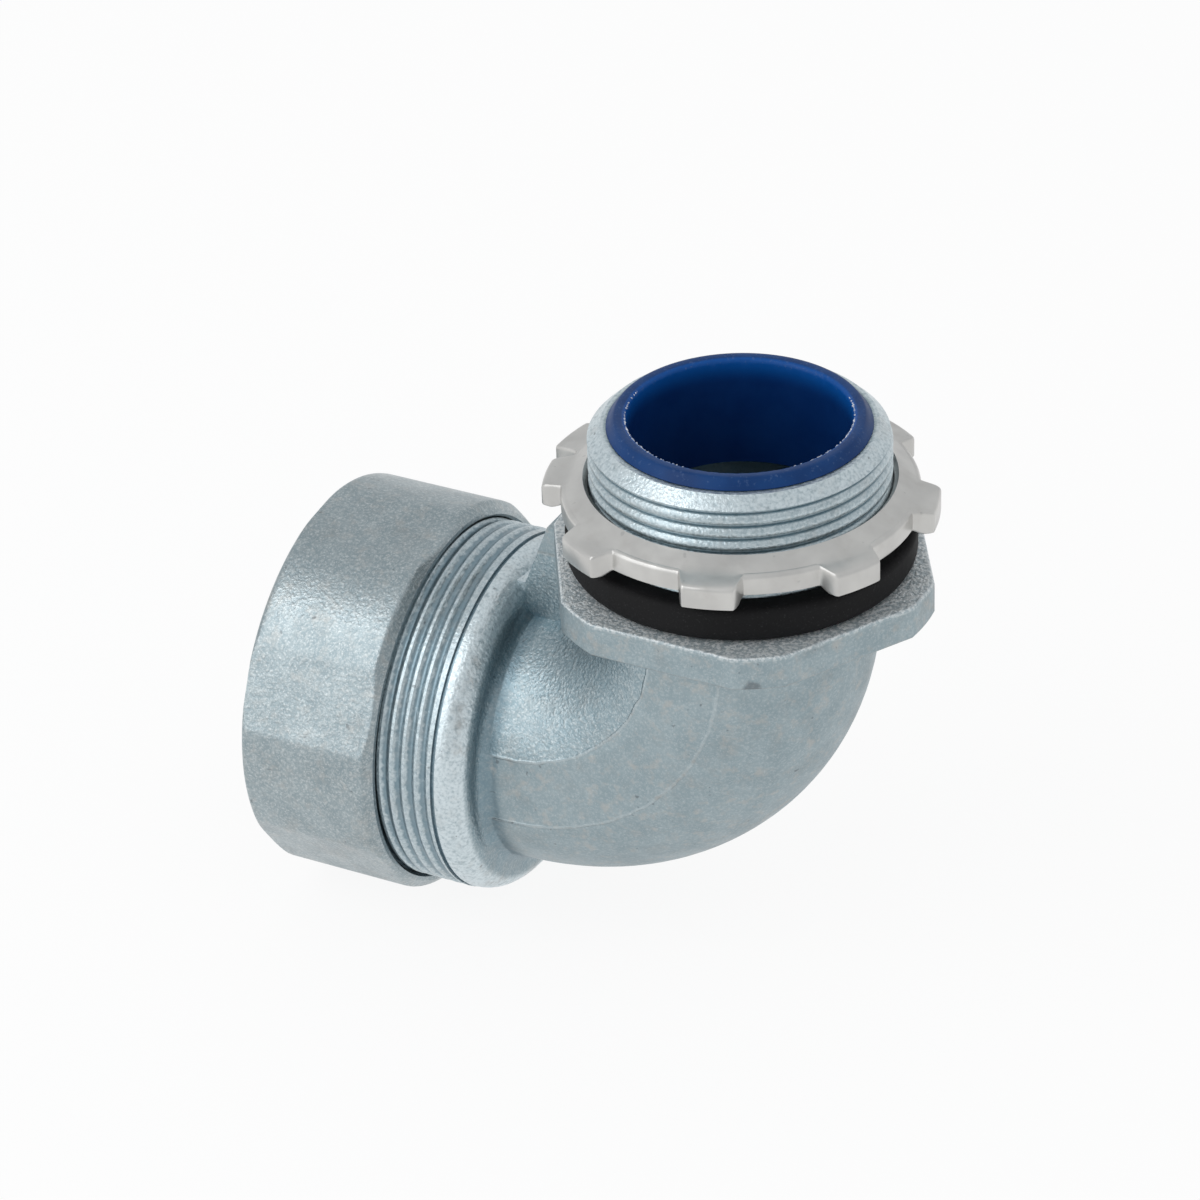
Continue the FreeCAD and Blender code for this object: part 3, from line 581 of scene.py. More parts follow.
# %% Make the liner's plastics
LINER_DARK = (0.002, 0.034, 0.140, 1.0)
LINER_LIGHT = (0.004, 0.046, 0.175, 1.0)
LINER_BORE_SHADE = (0.0003, 0.014, 0.115, 1.0)
LINER_GLOW = (0.001, 0.085, 0.36, 1.0)
LINER_SCUFF = (0.10, 0.16, 0.30, 1.0)
SHRED_BLUE = (0.26, 0.34, 0.52, 1.0)
SHRED_WHITE = (0.74, 0.77, 0.82, 1.0)
DOWN_THE_BORE = (21.2, 19.0)
ON_INNER_EDGE = (16.25, 15.75)
UP_TO_EDGE = (18.0, 21.6)
ON_LIP = (20.9, 21.4)


def make_liner_plastic():
    """Blue plastic with painted shade deeper inside, a painted glow at the inner edge, and scuffs on the lip.
    """
    material, tree, shader, position = new_material("liner_finish")
    x, y, z = add_node(tree, "ShaderNodeSeparateXYZ", {0: position}).outputs
    flow = noise(tree, position, 220.0, 3.0)
    scuffs = noise(tree, position, 1500.0, 3.0, 0.7)
    colour = blend(tree, fade(tree, flow, 0.3, 0.7), LINER_DARK, LINER_LIGHT)
    # Painted shade: the blue darkens down the bore.
    colour = tint(tree, colour, LINER_BORE_SHADE, fade_mm(tree, z, *DOWN_THE_BORE), 0.45)
    # Painted light: a glow on the bore's wall just below the inner edge.
    at_edge = fade_mm(tree, distance_in_plane(tree, x, y), *ON_INNER_EDGE)
    colour = tint(tree, colour, LINER_GLOW, at_edge, fade_mm(tree, z, *UP_TO_EDGE, 0.0, 0.8))
    rubbed = fade(tree, scuffs, 0.55, 0.7)
    colour = tint(tree, colour, LINER_SCUFF, rubbed, fade_mm(tree, z, *ON_LIP), 0.35)
    put_surface(tree, shader, colour, scale_add(tree, scuffs, 0.25, 0.28))
    shader.inputs["Specular IOR Level"].default_value = 0.2
    put_bump(tree, shader, scuffs, 0.010)
    return material


def make_shred_plastic():
    """Torn plastic, whitened in patches."""
    material, tree, shader, position = new_material("burr_finish")
    patchy = noise(tree, position, 1800.0)
    colour = blend(tree, fade(tree, patchy, 0.35, 0.65), SHRED_BLUE, SHRED_WHITE)
    put_surface(tree, shader, colour, scale_add(tree, patchy, 0.2, 0.45))
    return material


liner_plastic = make_liner_plastic()
shred_plastic = make_shred_plastic()
print("made", liner_plastic.name, "and", shred_plastic.name)

# %% [markdown]
# ## Rubber, ring and ferrule
# The gasket is matt rubber full of dust, the sealing ring is pale plastic, and the ferrule is drawn steel
# with lines along its sleeve. Those lines are noise on coordinates squeezed along X, which stretches each
# grain of it into a streak.

# %% Make the other finishes
GASKET_DARK = (0.004, 0.004, 0.0045, 1.0)
GASKET_LIGHT = (0.007, 0.007, 0.008, 1.0)
GASKET_DUST = (0.05, 0.05, 0.052, 1.0)
RING_DARK = (0.62, 0.60, 0.54, 1.0)
RING_LIGHT = (0.70, 0.69, 0.64, 1.0)
STEEL_DARK = (0.40, 0.40, 0.39, 1.0)
STEEL_LIGHT = (0.50, 0.50, 0.48, 1.0)
STEEL_METALLIC = 0.95
STREAK_SQUEEZE = (0.05, 1.0, 1.0)


def make_gasket_rubber():
    """Matt rubber with dust in its pores."""
    material, tree, shader, position = new_material("gasket_finish")
    dust = noise(tree, position, 3200.0, 2.0, 0.7)
    bloom = noise(tree, position, 190.0, 3.0)
    colour = blend(tree, fade(tree, bloom, 0.3, 0.75), GASKET_DARK, GASKET_LIGHT)
    colour = tint(tree, colour, GASKET_DUST, fade(tree, dust, 0.58, 0.75, 0.0, 0.4))
    put_surface(tree, shader, colour, scale_add(tree, bloom, 0.2, 0.65))
    shader.inputs["Specular IOR Level"].default_value = 0.25
    put_bump(tree, shader, dust, 0.03)
    return material


def make_ring_plastic():
    """Pale moulded plastic."""
    material, tree, shader, position = new_material("ring_finish")
    fine = noise(tree, position, 1600.0, 2.0)
    flow = noise(tree, position, 150.0, 3.0)
    colour = blend(tree, fade(tree, flow, 0.3, 0.7), RING_DARK, RING_LIGHT)
    put_surface(tree, shader, colour, scale_add(tree, fine, 0.2, 0.38))
    put_bump(tree, shader, fine, 0.012)
    return material


def make_ferrule_steel():
    """Drawn steel, streaked along X."""
    material, tree, shader, position = new_material("ferrule_finish")
    squeezed = add_node(tree, "ShaderNodeMapping", {"Scale": STREAK_SQUEEZE, "Vector": position}).outputs[0]
    drawn = noise(tree, squeezed, 2400.0, 3.0, 0.6)
    tone = noise(tree, position, 130.0, 2.0)
    colour = blend(tree, fade(tree, tone, 0.3, 0.7), STEEL_DARK, STEEL_LIGHT)
    put_surface(tree, shader, colour, scale_add(tree, drawn, 0.22, 0.24), STEEL_METALLIC)
    put_bump(tree, shader, drawn, 0.015)
    return material


gasket_rubber = make_gasket_rubber()
ring_plastic = make_ring_plastic()
ferrule_steel = make_ferrule_steel()
print("made", gasket_rubber.name, ring_plastic.name, "and", ferrule_steel.name)

# %% [markdown]
# ## Turned shells
# The nut, the locknut, the liner and the tool for a plain groove are turned, or nearly so: the same outline
# comes again and again round an axis, with small changes. The Screw modifier turns one fixed outline, which
# isn't enough here. So one helper takes the points of every outline as an array and joins them into a closed
# skin, and each piece only has to say how its outline changes with the angle.

# %% Define the turned shell
SHARP_EDGE = math.radians(30.0)


def face_outwards(mesh):
    """Point every face of a closed mesh outwards."""
    work = bmesh.new()
    work.from_mesh(mesh)
    bmesh.ops.recalc_face_normals(work, faces=work.faces)
    work.to_mesh(mesh)
    work.free()


def smooth_shading(mesh):
    """Shade smoothly, with an edge where faces meet sharply."""
    mesh.shade_smooth()
    mesh.set_sharp_from_angle(angle=SHARP_EDGE)


def turned_shell(name, points):
    """A closed skin through points[angle, place on the outline], given in millimetres."""
    turns, stations = points.shape[:2]
    here = np.arange(turns)[:, None] * stations + np.arange(stations)[None, :]
    ahead = np.roll(here, -1, axis=0)
    faces = np.stack([here, np.roll(here, -1, axis=1), np.roll(ahead, -1, axis=1), ahead], axis=-1)
    mesh = bpy.data.meshes.new(name)
    mesh.from_pydata((points.reshape(-1, 3) * MM).tolist(), [], faces.reshape(-1, 4).tolist())
    face_outwards(mesh)
    smooth_shading(mesh)
    return add_object(name, mesh)


def full_circle(turns):
    """Evenly spaced angles, as a column."""
    return np.linspace(0.0, 2 * np.pi, turns, endpoint=False)[:, None]


def points_of(*coordinates):
    """Points from arrays of their coordinates, which are spread to one shape."""
    return np.stack(np.broadcast_arrays(*coordinates), axis=-1)


def round_gland(x, radius, angle):
    """Points round the gland's axis, which lies along X."""
    return points_of(x, radius * np.cos(angle), GLAND_DROP + radius * np.sin(angle))


def round_nipple(radius, angle, z):
    """Points round the nipple's axis, which is Z."""
    return points_of(radius * np.cos(angle), radius * np.sin(angle), z)


def soft_least(first, second, softness):
    """The smaller of two lengths, with a rounded change from one to the other."""
    return -softness * np.logaddexp(-first / softness, -second / softness)


def ease(value, start, stop):
    """A smooth step from 0 at start to 1 at stop."""
    share = np.clip((value - start) / (stop - start), 0.0, 1.0)
    return share * share * (3.0 - 2.0 * share)


print("edges sharper than %.0f degrees stay sharp" % math.degrees(SHARP_EDGE))

# %% [markdown]
# ## Threads as Geometry Nodes
# A thread is a groove that follows a helix, so Geometry Nodes make the tool that cuts it: a spiral curve with
# the groove's cross-section swept along it. A Screw modifier would do too, but this tree takes its sizes as
# inputs and serves both threads. The cross-section is a closed curve: X runs outwards, and Y along the axis.

# %% Build the thread tool
def move(tree, geometry, **inputs):
    """A Transform Geometry node."""
    return add_node(tree, "GeometryNodeTransform", {"Geometry": geometry, **inputs}).outputs["Geometry"]


def along_z(tree, length):
    """A vector along Z."""
    return add_node(tree, "ShaderNodeCombineXYZ", {"Z": length}).outputs[0]


def end_tree(tree, geometry, finish, result):
    """Make instances real, give the geometry its finish and send it out."""
    real = add_node(tree, "GeometryNodeRealizeInstances", {"Geometry": geometry}).outputs["Geometry"]
    painted = add_node(tree, "GeometryNodeSetMaterial", {"Geometry": real, "Material": finish})
    feed(tree, result[0], painted.outputs["Geometry"])
    return tree


def build_thread_tool():
    """A groove's cross-section swept along a helix."""
    tree, given, result = new_group("thread_tool", {
        "Crest Radius": "Float", "Pitch": "Float", "Turns": "Float", "Steps Per Turn": "Int",
        "Start": "Float", "Start Angle": "Float", "Place": "Vector", "Lie": "Vector",
        "Groove": "Object", "Finish": "Material"}, {"Tool": "Geometry"}, "GeometryNodeTree")
    helix = add_node(tree, "GeometryNodeCurveSpiral", {
        "Reverse": True, "Resolution": given["Steps Per Turn"], "Rotations": given["Turns"],
        "Start Radius": given["Crest Radius"], "End Radius": given["Crest Radius"],
        "Height": both(tree, given["Pitch"], given["Turns"])})
    upright = add_node(tree, "GeometryNodeSetCurveNormal", {"Curve": helix.outputs["Curve"]}, mode="Z_UP")
    groove = add_node(
        tree, "GeometryNodeObjectInfo", {"Object": given["Groove"]}, transform_space="ORIGINAL")
    sweep = add_node(tree, "GeometryNodeCurveToMesh", {
        "Fill Caps": True, "Curve": upright.outputs["Curve"],
        "Profile Curve": groove.outputs["Geometry"]})
    raised = move(
        tree, sweep.outputs["Mesh"], Translation=along_z(tree, given["Start"]),
        Rotation=along_z(tree, given["Start Angle"]))
    laid = move(tree, raised, Translation=given["Place"], Rotation=given["Lie"])
    return end_tree(tree, laid, given["Finish"], result)


def settle(piece):
    """Replace a piece's mesh by what its modifiers make of it, and remove them."""
    ready = piece.evaluated_get(bpy.context.evaluated_depsgraph_get())
    mesh = bpy.data.meshes.new_from_object(ready)
    piece.modifiers.clear()
    piece.data = mesh
    return piece


def run_tree(name, tree, values):
    """Run a tree on an empty mesh, with inputs set by identifier, and keep the result as a plain mesh."""
    piece = add_object(name, bpy.data.meshes.new(name))
    modifier = piece.modifiers.new(name, "NODES")
    modifier.node_group = tree
    for socket in tree.interface.items_tree:
        if socket.name in values:
            modifier[socket.identifier] = values[socket.name]
    return settle(piece)


thread_tool = build_thread_tool()
print("thread tool takes", [socket.name for socket in thread_tool.interface.items_tree])

# %% [markdown]
# ## Tools for the casting
# The nipple has broad, rounded ridges with narrow grooves between them, and the spigot has narrow ridges with
# wide valleys, so each thread gets its own cross-section. A plain ring cuts the spigot's thread free of the
# collar, as on a lathe. The bend's flat sides rise to the collar in low ramps, which are small closed blocks.

# %% Make the casting's tools
THREAD_PITCH = 2.0
NIPPLE_DEPTH = 0.65
NIPPLE_HALF = 0.96 * THREAD_PITCH / 2
NIPPLE_OVERRUN = 0.6
SPIGOT_DEPTH = 0.42
SPIGOT_HALF = 0.80
SPIGOT_OVERRUN = 0.7
LIE_ALONG_X = (math.radians(90.0), 0.0, math.radians(90.0))
RELIEF_PLACE = -36.4
RELIEF_WIDTH = 0.55
RELIEF_DEPTH = 0.42
RELIEF_OVERRUN = 0.6
SIDE_FLAT = 19.5
SKIRT_FOOT = 20.15
SKIRT_START = -29.8
RAMP_START = -26.3
RAMP_END = -30.3
RAMP_HALF = 5.6
RAMP_ROOT = 18.6
RAMP_SINK = 0.01


def groove_outline(name, half, steps, depth_at, overrun):
    """A groove's cross-section: its floor in even steps along the axis, and two corners past the crests."""
    places = [half * step / steps for step in range(-steps, steps + 1)]
    corners = [(-depth_at(along), along) for along in places] + [(overrun, half), (overrun, -half)]
    curve = bpy.data.curves.new(name, "CURVE")
    curve.dimensions = "2D"
    spline = curve.splines.new("POLY")
    spline.points.add(len(corners) - 1)
    for point, (out, along) in zip(spline.points, corners):
        point.co = (out * MM, along * MM, 0.0, 1.0)
    spline.use_cyclic_u = True
    return add_object(name, curve)


def between_ridges(along):
    """The nipple's groove: each ridge is a parabola that falls to it."""
    return NIPPLE_DEPTH * (1.0 - abs(along) / (THREAD_PITCH / 2)) ** 2.0


def rounded_valley(along):
    """The spigot's groove: a wide valley with a rounded floor."""
    return SPIGOT_DEPTH * math.cos(math.pi / 2 * along / SPIGOT_HALF)


def relief_tool(turns=180):
    """A plain ring that cuts the thread free of the collar."""
    half = RELIEF_WIDTH / 2
    x = RELIEF_PLACE + np.array([[-half, half, half, -half]])
    radius = SPIGOT_CREST + np.array([[-RELIEF_DEPTH, -RELIEF_DEPTH, RELIEF_OVERRUN, RELIEF_OVERRUN]])
    return turned_shell("relief_tool", round_gland(x, radius, full_circle(turns)))


def closed_block(name, top, bottom):
    """A closed skin between two grids of points, given in millimetres."""
    rows, columns = top.shape[:2]
    upper = np.arange(rows * columns).reshape(rows, columns)
    faces = []
    for sheet in (upper, upper + rows * columns):
        quads = np.stack([sheet[:-1, :-1], sheet[1:, :-1], sheet[1:, 1:], sheet[:-1, 1:]], axis=-1)
        faces += quads.reshape(-1, 4).tolist()
    rim = np.concatenate([upper[0, :-1], upper[:-1, -1], upper[-1, :0:-1], upper[:0:-1, 0]])
    ahead = np.roll(rim, -1)
    faces += np.stack([rim, ahead, ahead + rows * columns, rim + rows * columns], axis=-1).tolist()
    mesh = bpy.data.meshes.new(name)
    corners = np.concatenate([top.reshape(-1, 3), bottom.reshape(-1, 3)]) * MM
    mesh.from_pydata(corners.tolist(), [], faces)
    return add_object(name, mesh)


def band_end(side):
    """A low ramp that carries a flat side of the bend up to the foot of the collar's hollow."""
    x = np.linspace(RAMP_START, RAMP_END, 15)[:, None]
    off_axis = np.linspace(-RAMP_HALF, RAMP_HALF, 17)[None, :]
    rise = np.sqrt(SKIRT_FOOT ** 2 - off_axis ** 2) - SIDE_FLAT
    out = SIDE_FLAT - RAMP_SINK + ease(x, RAMP_START, SKIRT_START) * (rise + 2 * RAMP_SINK)
    top = points_of(x, side * out, GLAND_DROP + off_axis)
    bottom = points_of(x, side * RAMP_ROOT, GLAND_DROP + off_axis)
    return closed_block("band_end", top, bottom)


nipple_groove = groove_outline("nipple_groove", NIPPLE_HALF, 8, between_ridges, NIPPLE_OVERRUN)
spigot_groove = groove_outline("spigot_groove", SPIGOT_HALF, 4, rounded_valley, SPIGOT_OVERRUN)
nipple_tool = run_tree("nipple_tool", thread_tool, {
    "Crest Radius": NIPPLE_CREST * MM, "Pitch": THREAD_PITCH * MM, "Turns": 9.6, "Steps Per Turn": 160,
    "Start": 2.25 * MM, "Start Angle": math.radians(298.0), "Groove": nipple_groove,
    "Finish": casting_plating})
spigot_tool = run_tree("spigot_tool", thread_tool, {
    "Crest Radius": SPIGOT_CREST * MM, "Pitch": THREAD_PITCH * MM, "Turns": 8.825, "Steps Per Turn": 180,
    "Start": -54.4 * MM, "Start Angle": math.radians(112.0), "Groove": spigot_groove,
    "Place": (0.0, 0.0, GLAND_DROP * MM), "Lie": LIE_ALONG_X, "Finish": casting_plating})
for tool in (nipple_tool, spigot_tool):
    print(tool.name, "has", len(tool.data.polygons), "faces")

# %% [markdown]
# ## The casting
# The casting is one solid: bend, flange, nipple, collar, spigot and web. Its form is right already, so a
# copy is welded, the ramps are joined to it and the threads are cut into it. Modelling it anew would only
# risk a different form. The Manifold solver is quick and keeps the result closed. Weighted normals keep the
# flat areas flat in the light, beside the many small faces of the threads.

# %% Cut the threads into the casting
WELD_DISTANCE = 1e-6


def welded_copy(node, name):
    """A copy of a solid's mesh with its corners welded."""
    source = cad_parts[node].data
    mesh = bpy.data.meshes.new(name)
    corners = [vertex.co[:] for vertex in source.vertices]
    faces = [tuple(polygon.vertices) for polygon in source.polygons]
    mesh.from_pydata(corners, [], faces)
    work = bmesh.new()
    work.from_mesh(mesh)
    bmesh.ops.remove_doubles(work, verts=work.verts, dist=WELD_DISTANCE)
    work.to_mesh(mesh)
    work.free()
    return add_object(name, mesh)


def combine(piece, operation, tools):
    """Join closed tools to a closed piece, or cut them out of it, then throw the tools away."""
    for tool in tools:
        face_outwards(tool.data)
        step = piece.modifiers.new(tool.name, "BOOLEAN")
        step.operation = operation
        step.solver = "MANIFOLD"
        step.object = tool
    settle(piece)
    for tool in tools:
        bpy.data.objects.remove(tool)


def finish_piece(piece, finish, body, slot, *nodes):
    """Give a piece its finish and say where it belongs."""
    piece.data.materials.clear()
    piece.data.materials.append(finish)
    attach(piece, body)
    if nodes:
        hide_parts(*nodes)
    print(piece.name, "has", len(piece.data.polygons), "faces")


casting = welded_copy("elbow_body", "elbow_casting")
combine(casting, "UNION", [band_end(1.0), band_end(-1.0)])
combine(casting, "DIFFERENCE", [nipple_tool, spigot_tool, relief_tool()])
for outline in (nipple_groove, spigot_groove):
    bpy.data.objects.remove(outline)
smooth_shading(casting.data)
weigh = casting.modifiers.new("weigh_normals", "WEIGHTED_NORMAL")
weigh.keep_sharp = True
settle(casting)
finish_piece(casting, casting_plating, "connector", "plated_casting", "elbow_body")

# %% [markdown]
# ## The gland nut
# The nut is a hexagon with its corners turned off on a lathe, so its outside at each angle is the smaller of
# the flat and the turned radius. A soft minimum rounds the change, as casting and plating do, where a Bevel
# modifier would need clean edges to work on. Inside is the thread that runs on the spigot, with the same
# pitch, and the shoulder that pushes the sealing ring.

# %% Turn the gland nut
NUT_MOUTH = -45.2
NUT_END = -66.3
NUT_SHOULDER = -63.5
NUT_FLAT = 28.2
NUT_CORNER = 28.94
NUT_TURN = math.radians(6.0)
NUT_BORE = 26.7
NUT_OUTLET = 21.7
NUT_THREAD_DEPTH = 0.55
NUT_CHAMFER = 1.2
NUT_ROUNDING = 1.0
NUT_END_STATIONS = [0.0, 0.1, 0.2, 0.35, 0.5, 0.7, 0.9, 1.1, 1.3, 1.6, 2.2, 3.4]


def nut_outside(angle):
    """The outside from the mouth to the end: flats and turned corners, a chamfer and a rounded end."""
    from_flat = (angle - NUT_TURN) % (np.pi / 3) - np.pi / 6
    outside = soft_least(NUT_FLAT / np.cos(from_flat), np.full_like(angle, NUT_CORNER), 0.035)
    ends = np.array(NUT_END_STATIONS)
    length = NUT_MOUTH - NUT_END
    inwards = np.concatenate([ends, np.linspace(5.0, length - 5.0, 8), (length - ends)[::-1]])[None, :]
    chamfer = NUT_CORNER - NUT_CHAMFER + inwards
    left = np.clip(length - inwards, 0.0, NUT_ROUNDING)
    curve = np.sqrt(NUT_ROUNDING ** 2 - (NUT_ROUNDING - left) ** 2)
    rounding = NUT_CORNER - NUT_ROUNDING + curve + np.maximum(length - inwards - NUT_ROUNDING, 0.0)
    radius = soft_least(soft_least(outside, chamfer, 0.08), rounding, 0.05)
    return np.broadcast_to(NUT_MOUTH - inwards, radius.shape), radius


def nut_outlet(angle):
    """The end face, the outlet and the shoulder, from the outside inwards."""
    outline = np.array([
        (NUT_END, 25.0), (NUT_END, NUT_OUTLET + 0.5), (NUT_END + 0.25, NUT_OUTLET + 0.25),
        (NUT_END + 0.5, NUT_OUTLET), (NUT_END + 1.5, NUT_OUTLET), (NUT_SHOULDER - 0.1, NUT_OUTLET),
        (NUT_SHOULDER, NUT_OUTLET + 0.1), (NUT_SHOULDER, 24.0), (NUT_SHOULDER, NUT_BORE - 0.1)])
    return outline[:, 0] + 0.0 * angle, outline[:, 1] + 0.0 * angle


def nut_bore(angle):
    """The bore with its thread, which fades out at both ends, and the edge of the mouth."""
    x = np.linspace(NUT_SHOULDER + 0.1, NUT_MOUTH - 0.4, 82)[None, :]
    turn_share = (x / THREAD_PITCH - angle / (2 * np.pi)) % 1.0
    groove = ease(np.abs(turn_share - 0.5), 0.36, 0.20)
    cut = ease(x, NUT_SHOULDER + 1.2, NUT_SHOULDER + 2.6) * ease(x, NUT_MOUTH - 1.6, NUT_MOUTH - 2.6)
    radius = NUT_BORE + NUT_THREAD_DEPTH * groove * cut
    mouth = np.ones_like(angle)
    x = np.concatenate([np.broadcast_to(x, radius.shape), NUT_MOUTH * mouth], axis=1)
    return x, np.concatenate([radius, (NUT_BORE + 0.4) * mouth], axis=1)


def gland_nut_points(turns=400):
    """All the outlines of the nut."""
    angle = full_circle(turns)
    parts = [nut_outside(angle), nut_outlet(angle), nut_bore(angle)]
    x = np.concatenate([part[0] for part in parts], axis=1)
    radius = np.concatenate([part[1] for part in parts], axis=1)
    return round_gland(x, radius, angle)


gland_nut = turned_shell("gland_nut_shell", gland_nut_points())
finish_piece(gland_nut, nut_plating, "gland_nut", "plated_nut", "gland_nut")

# %% [markdown]
# ## The locknut
# The locknut is pressed from thick plate: a ring dished up towards its hole, with lugs bent down a little at
# their tips. Each lug joins the ring in a hollow curve and has rounded corners. So the outer radius is a
# function of the angle, and the top and underside are functions of the radius, which gives those curves
# without any bevel. Eight lugs are evenly spaced, and one stands between.

# %% Press the locknut
LOCKNUT_HOLE = 21.105
LOCKNUT_RADIUS = 24.805
LOCKNUT_UNDER = 8.2
LOCKNUT_TOP = 11.2
LOCKNUT_DISH = 1.5
LOCKNUT_EDGE = 0.6
LUG_FALL = 0.5
LUG_DROP = 0.8
LUG_REACH = 2.7
ODD_LUG_REACH = 3.8
LUG_TIP_HALF = math.radians(7.0)
LUG_ROOT_HALF = math.radians(10.6)
LUG_ANGLES = [math.radians(16.0 + 45.0 * step) for step in range(8)]
ODD_LUG_ANGLE = math.radians(173.0)
TOP_BEND = 0.7
UNDER_BEND = 0.25


def locknut_outside(angle):
    """The ring's radius, and more where there is a lug."""
    reach = np.zeros_like(angle)
    for centre, length in [(lug, LUG_REACH) for lug in LUG_ANGLES] + [(ODD_LUG_ANGLE, ODD_LUG_REACH)]:
        aside = np.abs((angle - centre + np.pi) % (2 * np.pi) - np.pi)
        reach = np.maximum(reach, length * ease(aside, LUG_ROOT_HALF, LUG_TIP_HALF))
    return LOCKNUT_RADIUS + reach


def locknut_top(radius):
    """The height of the top: dished up to the hole, and falling along the lugs."""
    edge = LOCKNUT_RADIUS - LOCKNUT_EDGE
    rise = np.clip((edge - radius) / (LOCKNUT_RADIUS - LOCKNUT_HOLE - 1.2), 0.0, 1.0)
    fall = np.clip((radius - edge) / (LUG_REACH + LOCKNUT_EDGE), 0.0, 1.2)
    return LOCKNUT_TOP + LOCKNUT_DISH * rise - LUG_FALL * fall


def locknut_under(radius):
    """The height of the underside, which drops along the lugs."""
    return LOCKNUT_UNDER - LUG_DROP * ease(radius, LOCKNUT_RADIUS - 0.4, LOCKNUT_RADIUS + 1.7)


def locknut_points(turns=1080):
    """Each outline runs out along the top, down the side, back underneath and up the hole."""
    angle = full_circle(turns)
    outside = locknut_outside(angle)
    all_round = np.ones_like(angle)
    hole_edge = LOCKNUT_HOLE + LOCKNUT_EDGE
    ring_end = LOCKNUT_RADIUS - LOCKNUT_EDGE - 0.1
    ring_r = np.linspace(hole_edge, ring_end, 4) * all_round
    lug_r = ring_end + np.array([0.4, 0.7, 1.0]) * (outside - TOP_BEND - ring_end)
    corner = np.radians([22.5, 45.0, 67.5, 90.0])
    corner_r = outside - TOP_BEND + TOP_BEND * np.sin(corner)
    corner_z = locknut_top(outside - TOP_BEND) - TOP_BEND + TOP_BEND * np.cos(corner)
    side_r = outside - UNDER_BEND * np.array([0.0, 0.3, 1.0])
    side_z = locknut_under(outside) + UNDER_BEND * np.array([1.0, 0.3, 0.0])
    back_r = outside - UNDER_BEND + np.linspace(0.15, 1.0, 7) * (hole_edge - outside + UNDER_BEND)
    hole_r = np.array([LOCKNUT_HOLE, LOCKNUT_HOLE]) * all_round
    hole_z = np.array([LOCKNUT_UNDER + LOCKNUT_EDGE, LOCKNUT_TOP + LOCKNUT_DISH - LOCKNUT_EDGE]) * all_round
    radius = np.concatenate([ring_r, lug_r, corner_r, side_r, back_r, hole_r], axis=1)
    z = np.concatenate(
        [locknut_top(ring_r), locknut_top(lug_r), corner_z, side_z, locknut_under(back_r), hole_z], axis=1)
    return round_nipple(radius, angle, z)


locknut = turned_shell("locknut_plate", locknut_points())
finish_piece(locknut, locknut_plating, "locknut", "locknut_metal", "locknut")

# %% [markdown]
# ## The liner
# A blue sleeve lines the nipple, so its edge can't cut the wires. It is moulded, and the inner edge of its
# lip is a little ragged where the mould closed. It is a turned shell with a small random change to the points
# of that edge. A Displace modifier would roughen the whole sleeve.

# %% Turn the liner
LINER_INSIDE = 15.5
LINER_OUTSIDE = 16.9
LINER_FOOT = 5.5
LIP_RADIUS = 18.3
NIPPLE_TOP = 20.5
LIP_TOP = 22.0
RAGGED_EDGE = 0.035
RAGGED_ABOVE = 21.4
RAGGED_WITHIN = 16.4


def liner_points(turns=288):
    """The sleeve's outline, with a ragged inner edge on the lip."""
    outline = np.array([
        (LINER_INSIDE, LINER_FOOT), (16.2, LINER_FOOT), (LINER_OUTSIDE, LINER_FOOT), (LINER_OUTSIDE, 13.0),
        (LINER_OUTSIDE, NIPPLE_TOP), (17.6, NIPPLE_TOP), (LIP_RADIUS - 0.1, NIPPLE_TOP),
        (LIP_RADIUS, NIPPLE_TOP + 0.12), (LIP_RADIUS - 0.55, 21.3), (LIP_RADIUS - 1.0, 21.9),
        (LIP_RADIUS - 1.2, LIP_TOP), (16.7, LIP_TOP), (16.2, LIP_TOP), (15.9, 21.92), (15.68, 21.75),
        (15.54, 21.5), (LINER_INSIDE, 21.2), (LINER_INSIDE, 20.0), (LINER_INSIDE, 17.0),
        (LINER_INSIDE, 14.0), (LINER_INSIDE, 10.0)])
    chance = np.random.default_rng(11)
    ragged = np.abs(chance.normal(0.0, RAGGED_EDGE, (turns, len(outline))))
    inner_edge = (outline[:, 1] > RAGGED_ABOVE) & (outline[:, 0] < RAGGED_WITHIN)
    radius = outline[:, 0] + np.where(inner_edge, ragged, 0.0)
    z = outline[:, 1] - np.where(inner_edge, ragged * 0.6, 0.0)
    return round_nipple(radius, full_circle(turns), z)


liner = turned_shell("throat_liner_sleeve", liner_points())
finish_piece(liner, liner_plastic, "connector", "liner_plastic", "throat_liner")

# %% [markdown]
# ## Shreds on the lip
# Loose shreds of plastic hang on the lip's inner edge, in the two places where the photograph shows them.
# Modelling each by hand would be slow, so Geometry Nodes scatter them: points round the edge, thinned out at
# random away from those places, with a small faceted lump of random size and turn on each point that is left.

# %% Scatter the shreds
SHRED_EDGE = 15.72
SHRED_HEIGHT = 21.72
SHRED_SPREAD = 13.0
SHRED_SIZE = 0.16
SHRED_SIDES = (222.0, 10.0)
SHRED_SMALLEST = (0.35, 0.35, 0.35)
SHRED_LARGEST = (1.0, 1.7, 1.3)
SHRED_TURN = (6.28, 6.28, 6.28)


def random_vector(tree, low, high, seed):
    """A random vector for each point."""
    inputs = {0: low, 1: high, "Seed": seed}
    return add_node(tree, "FunctionNodeRandomValue", inputs, data_type="FLOAT_VECTOR").outputs[0]


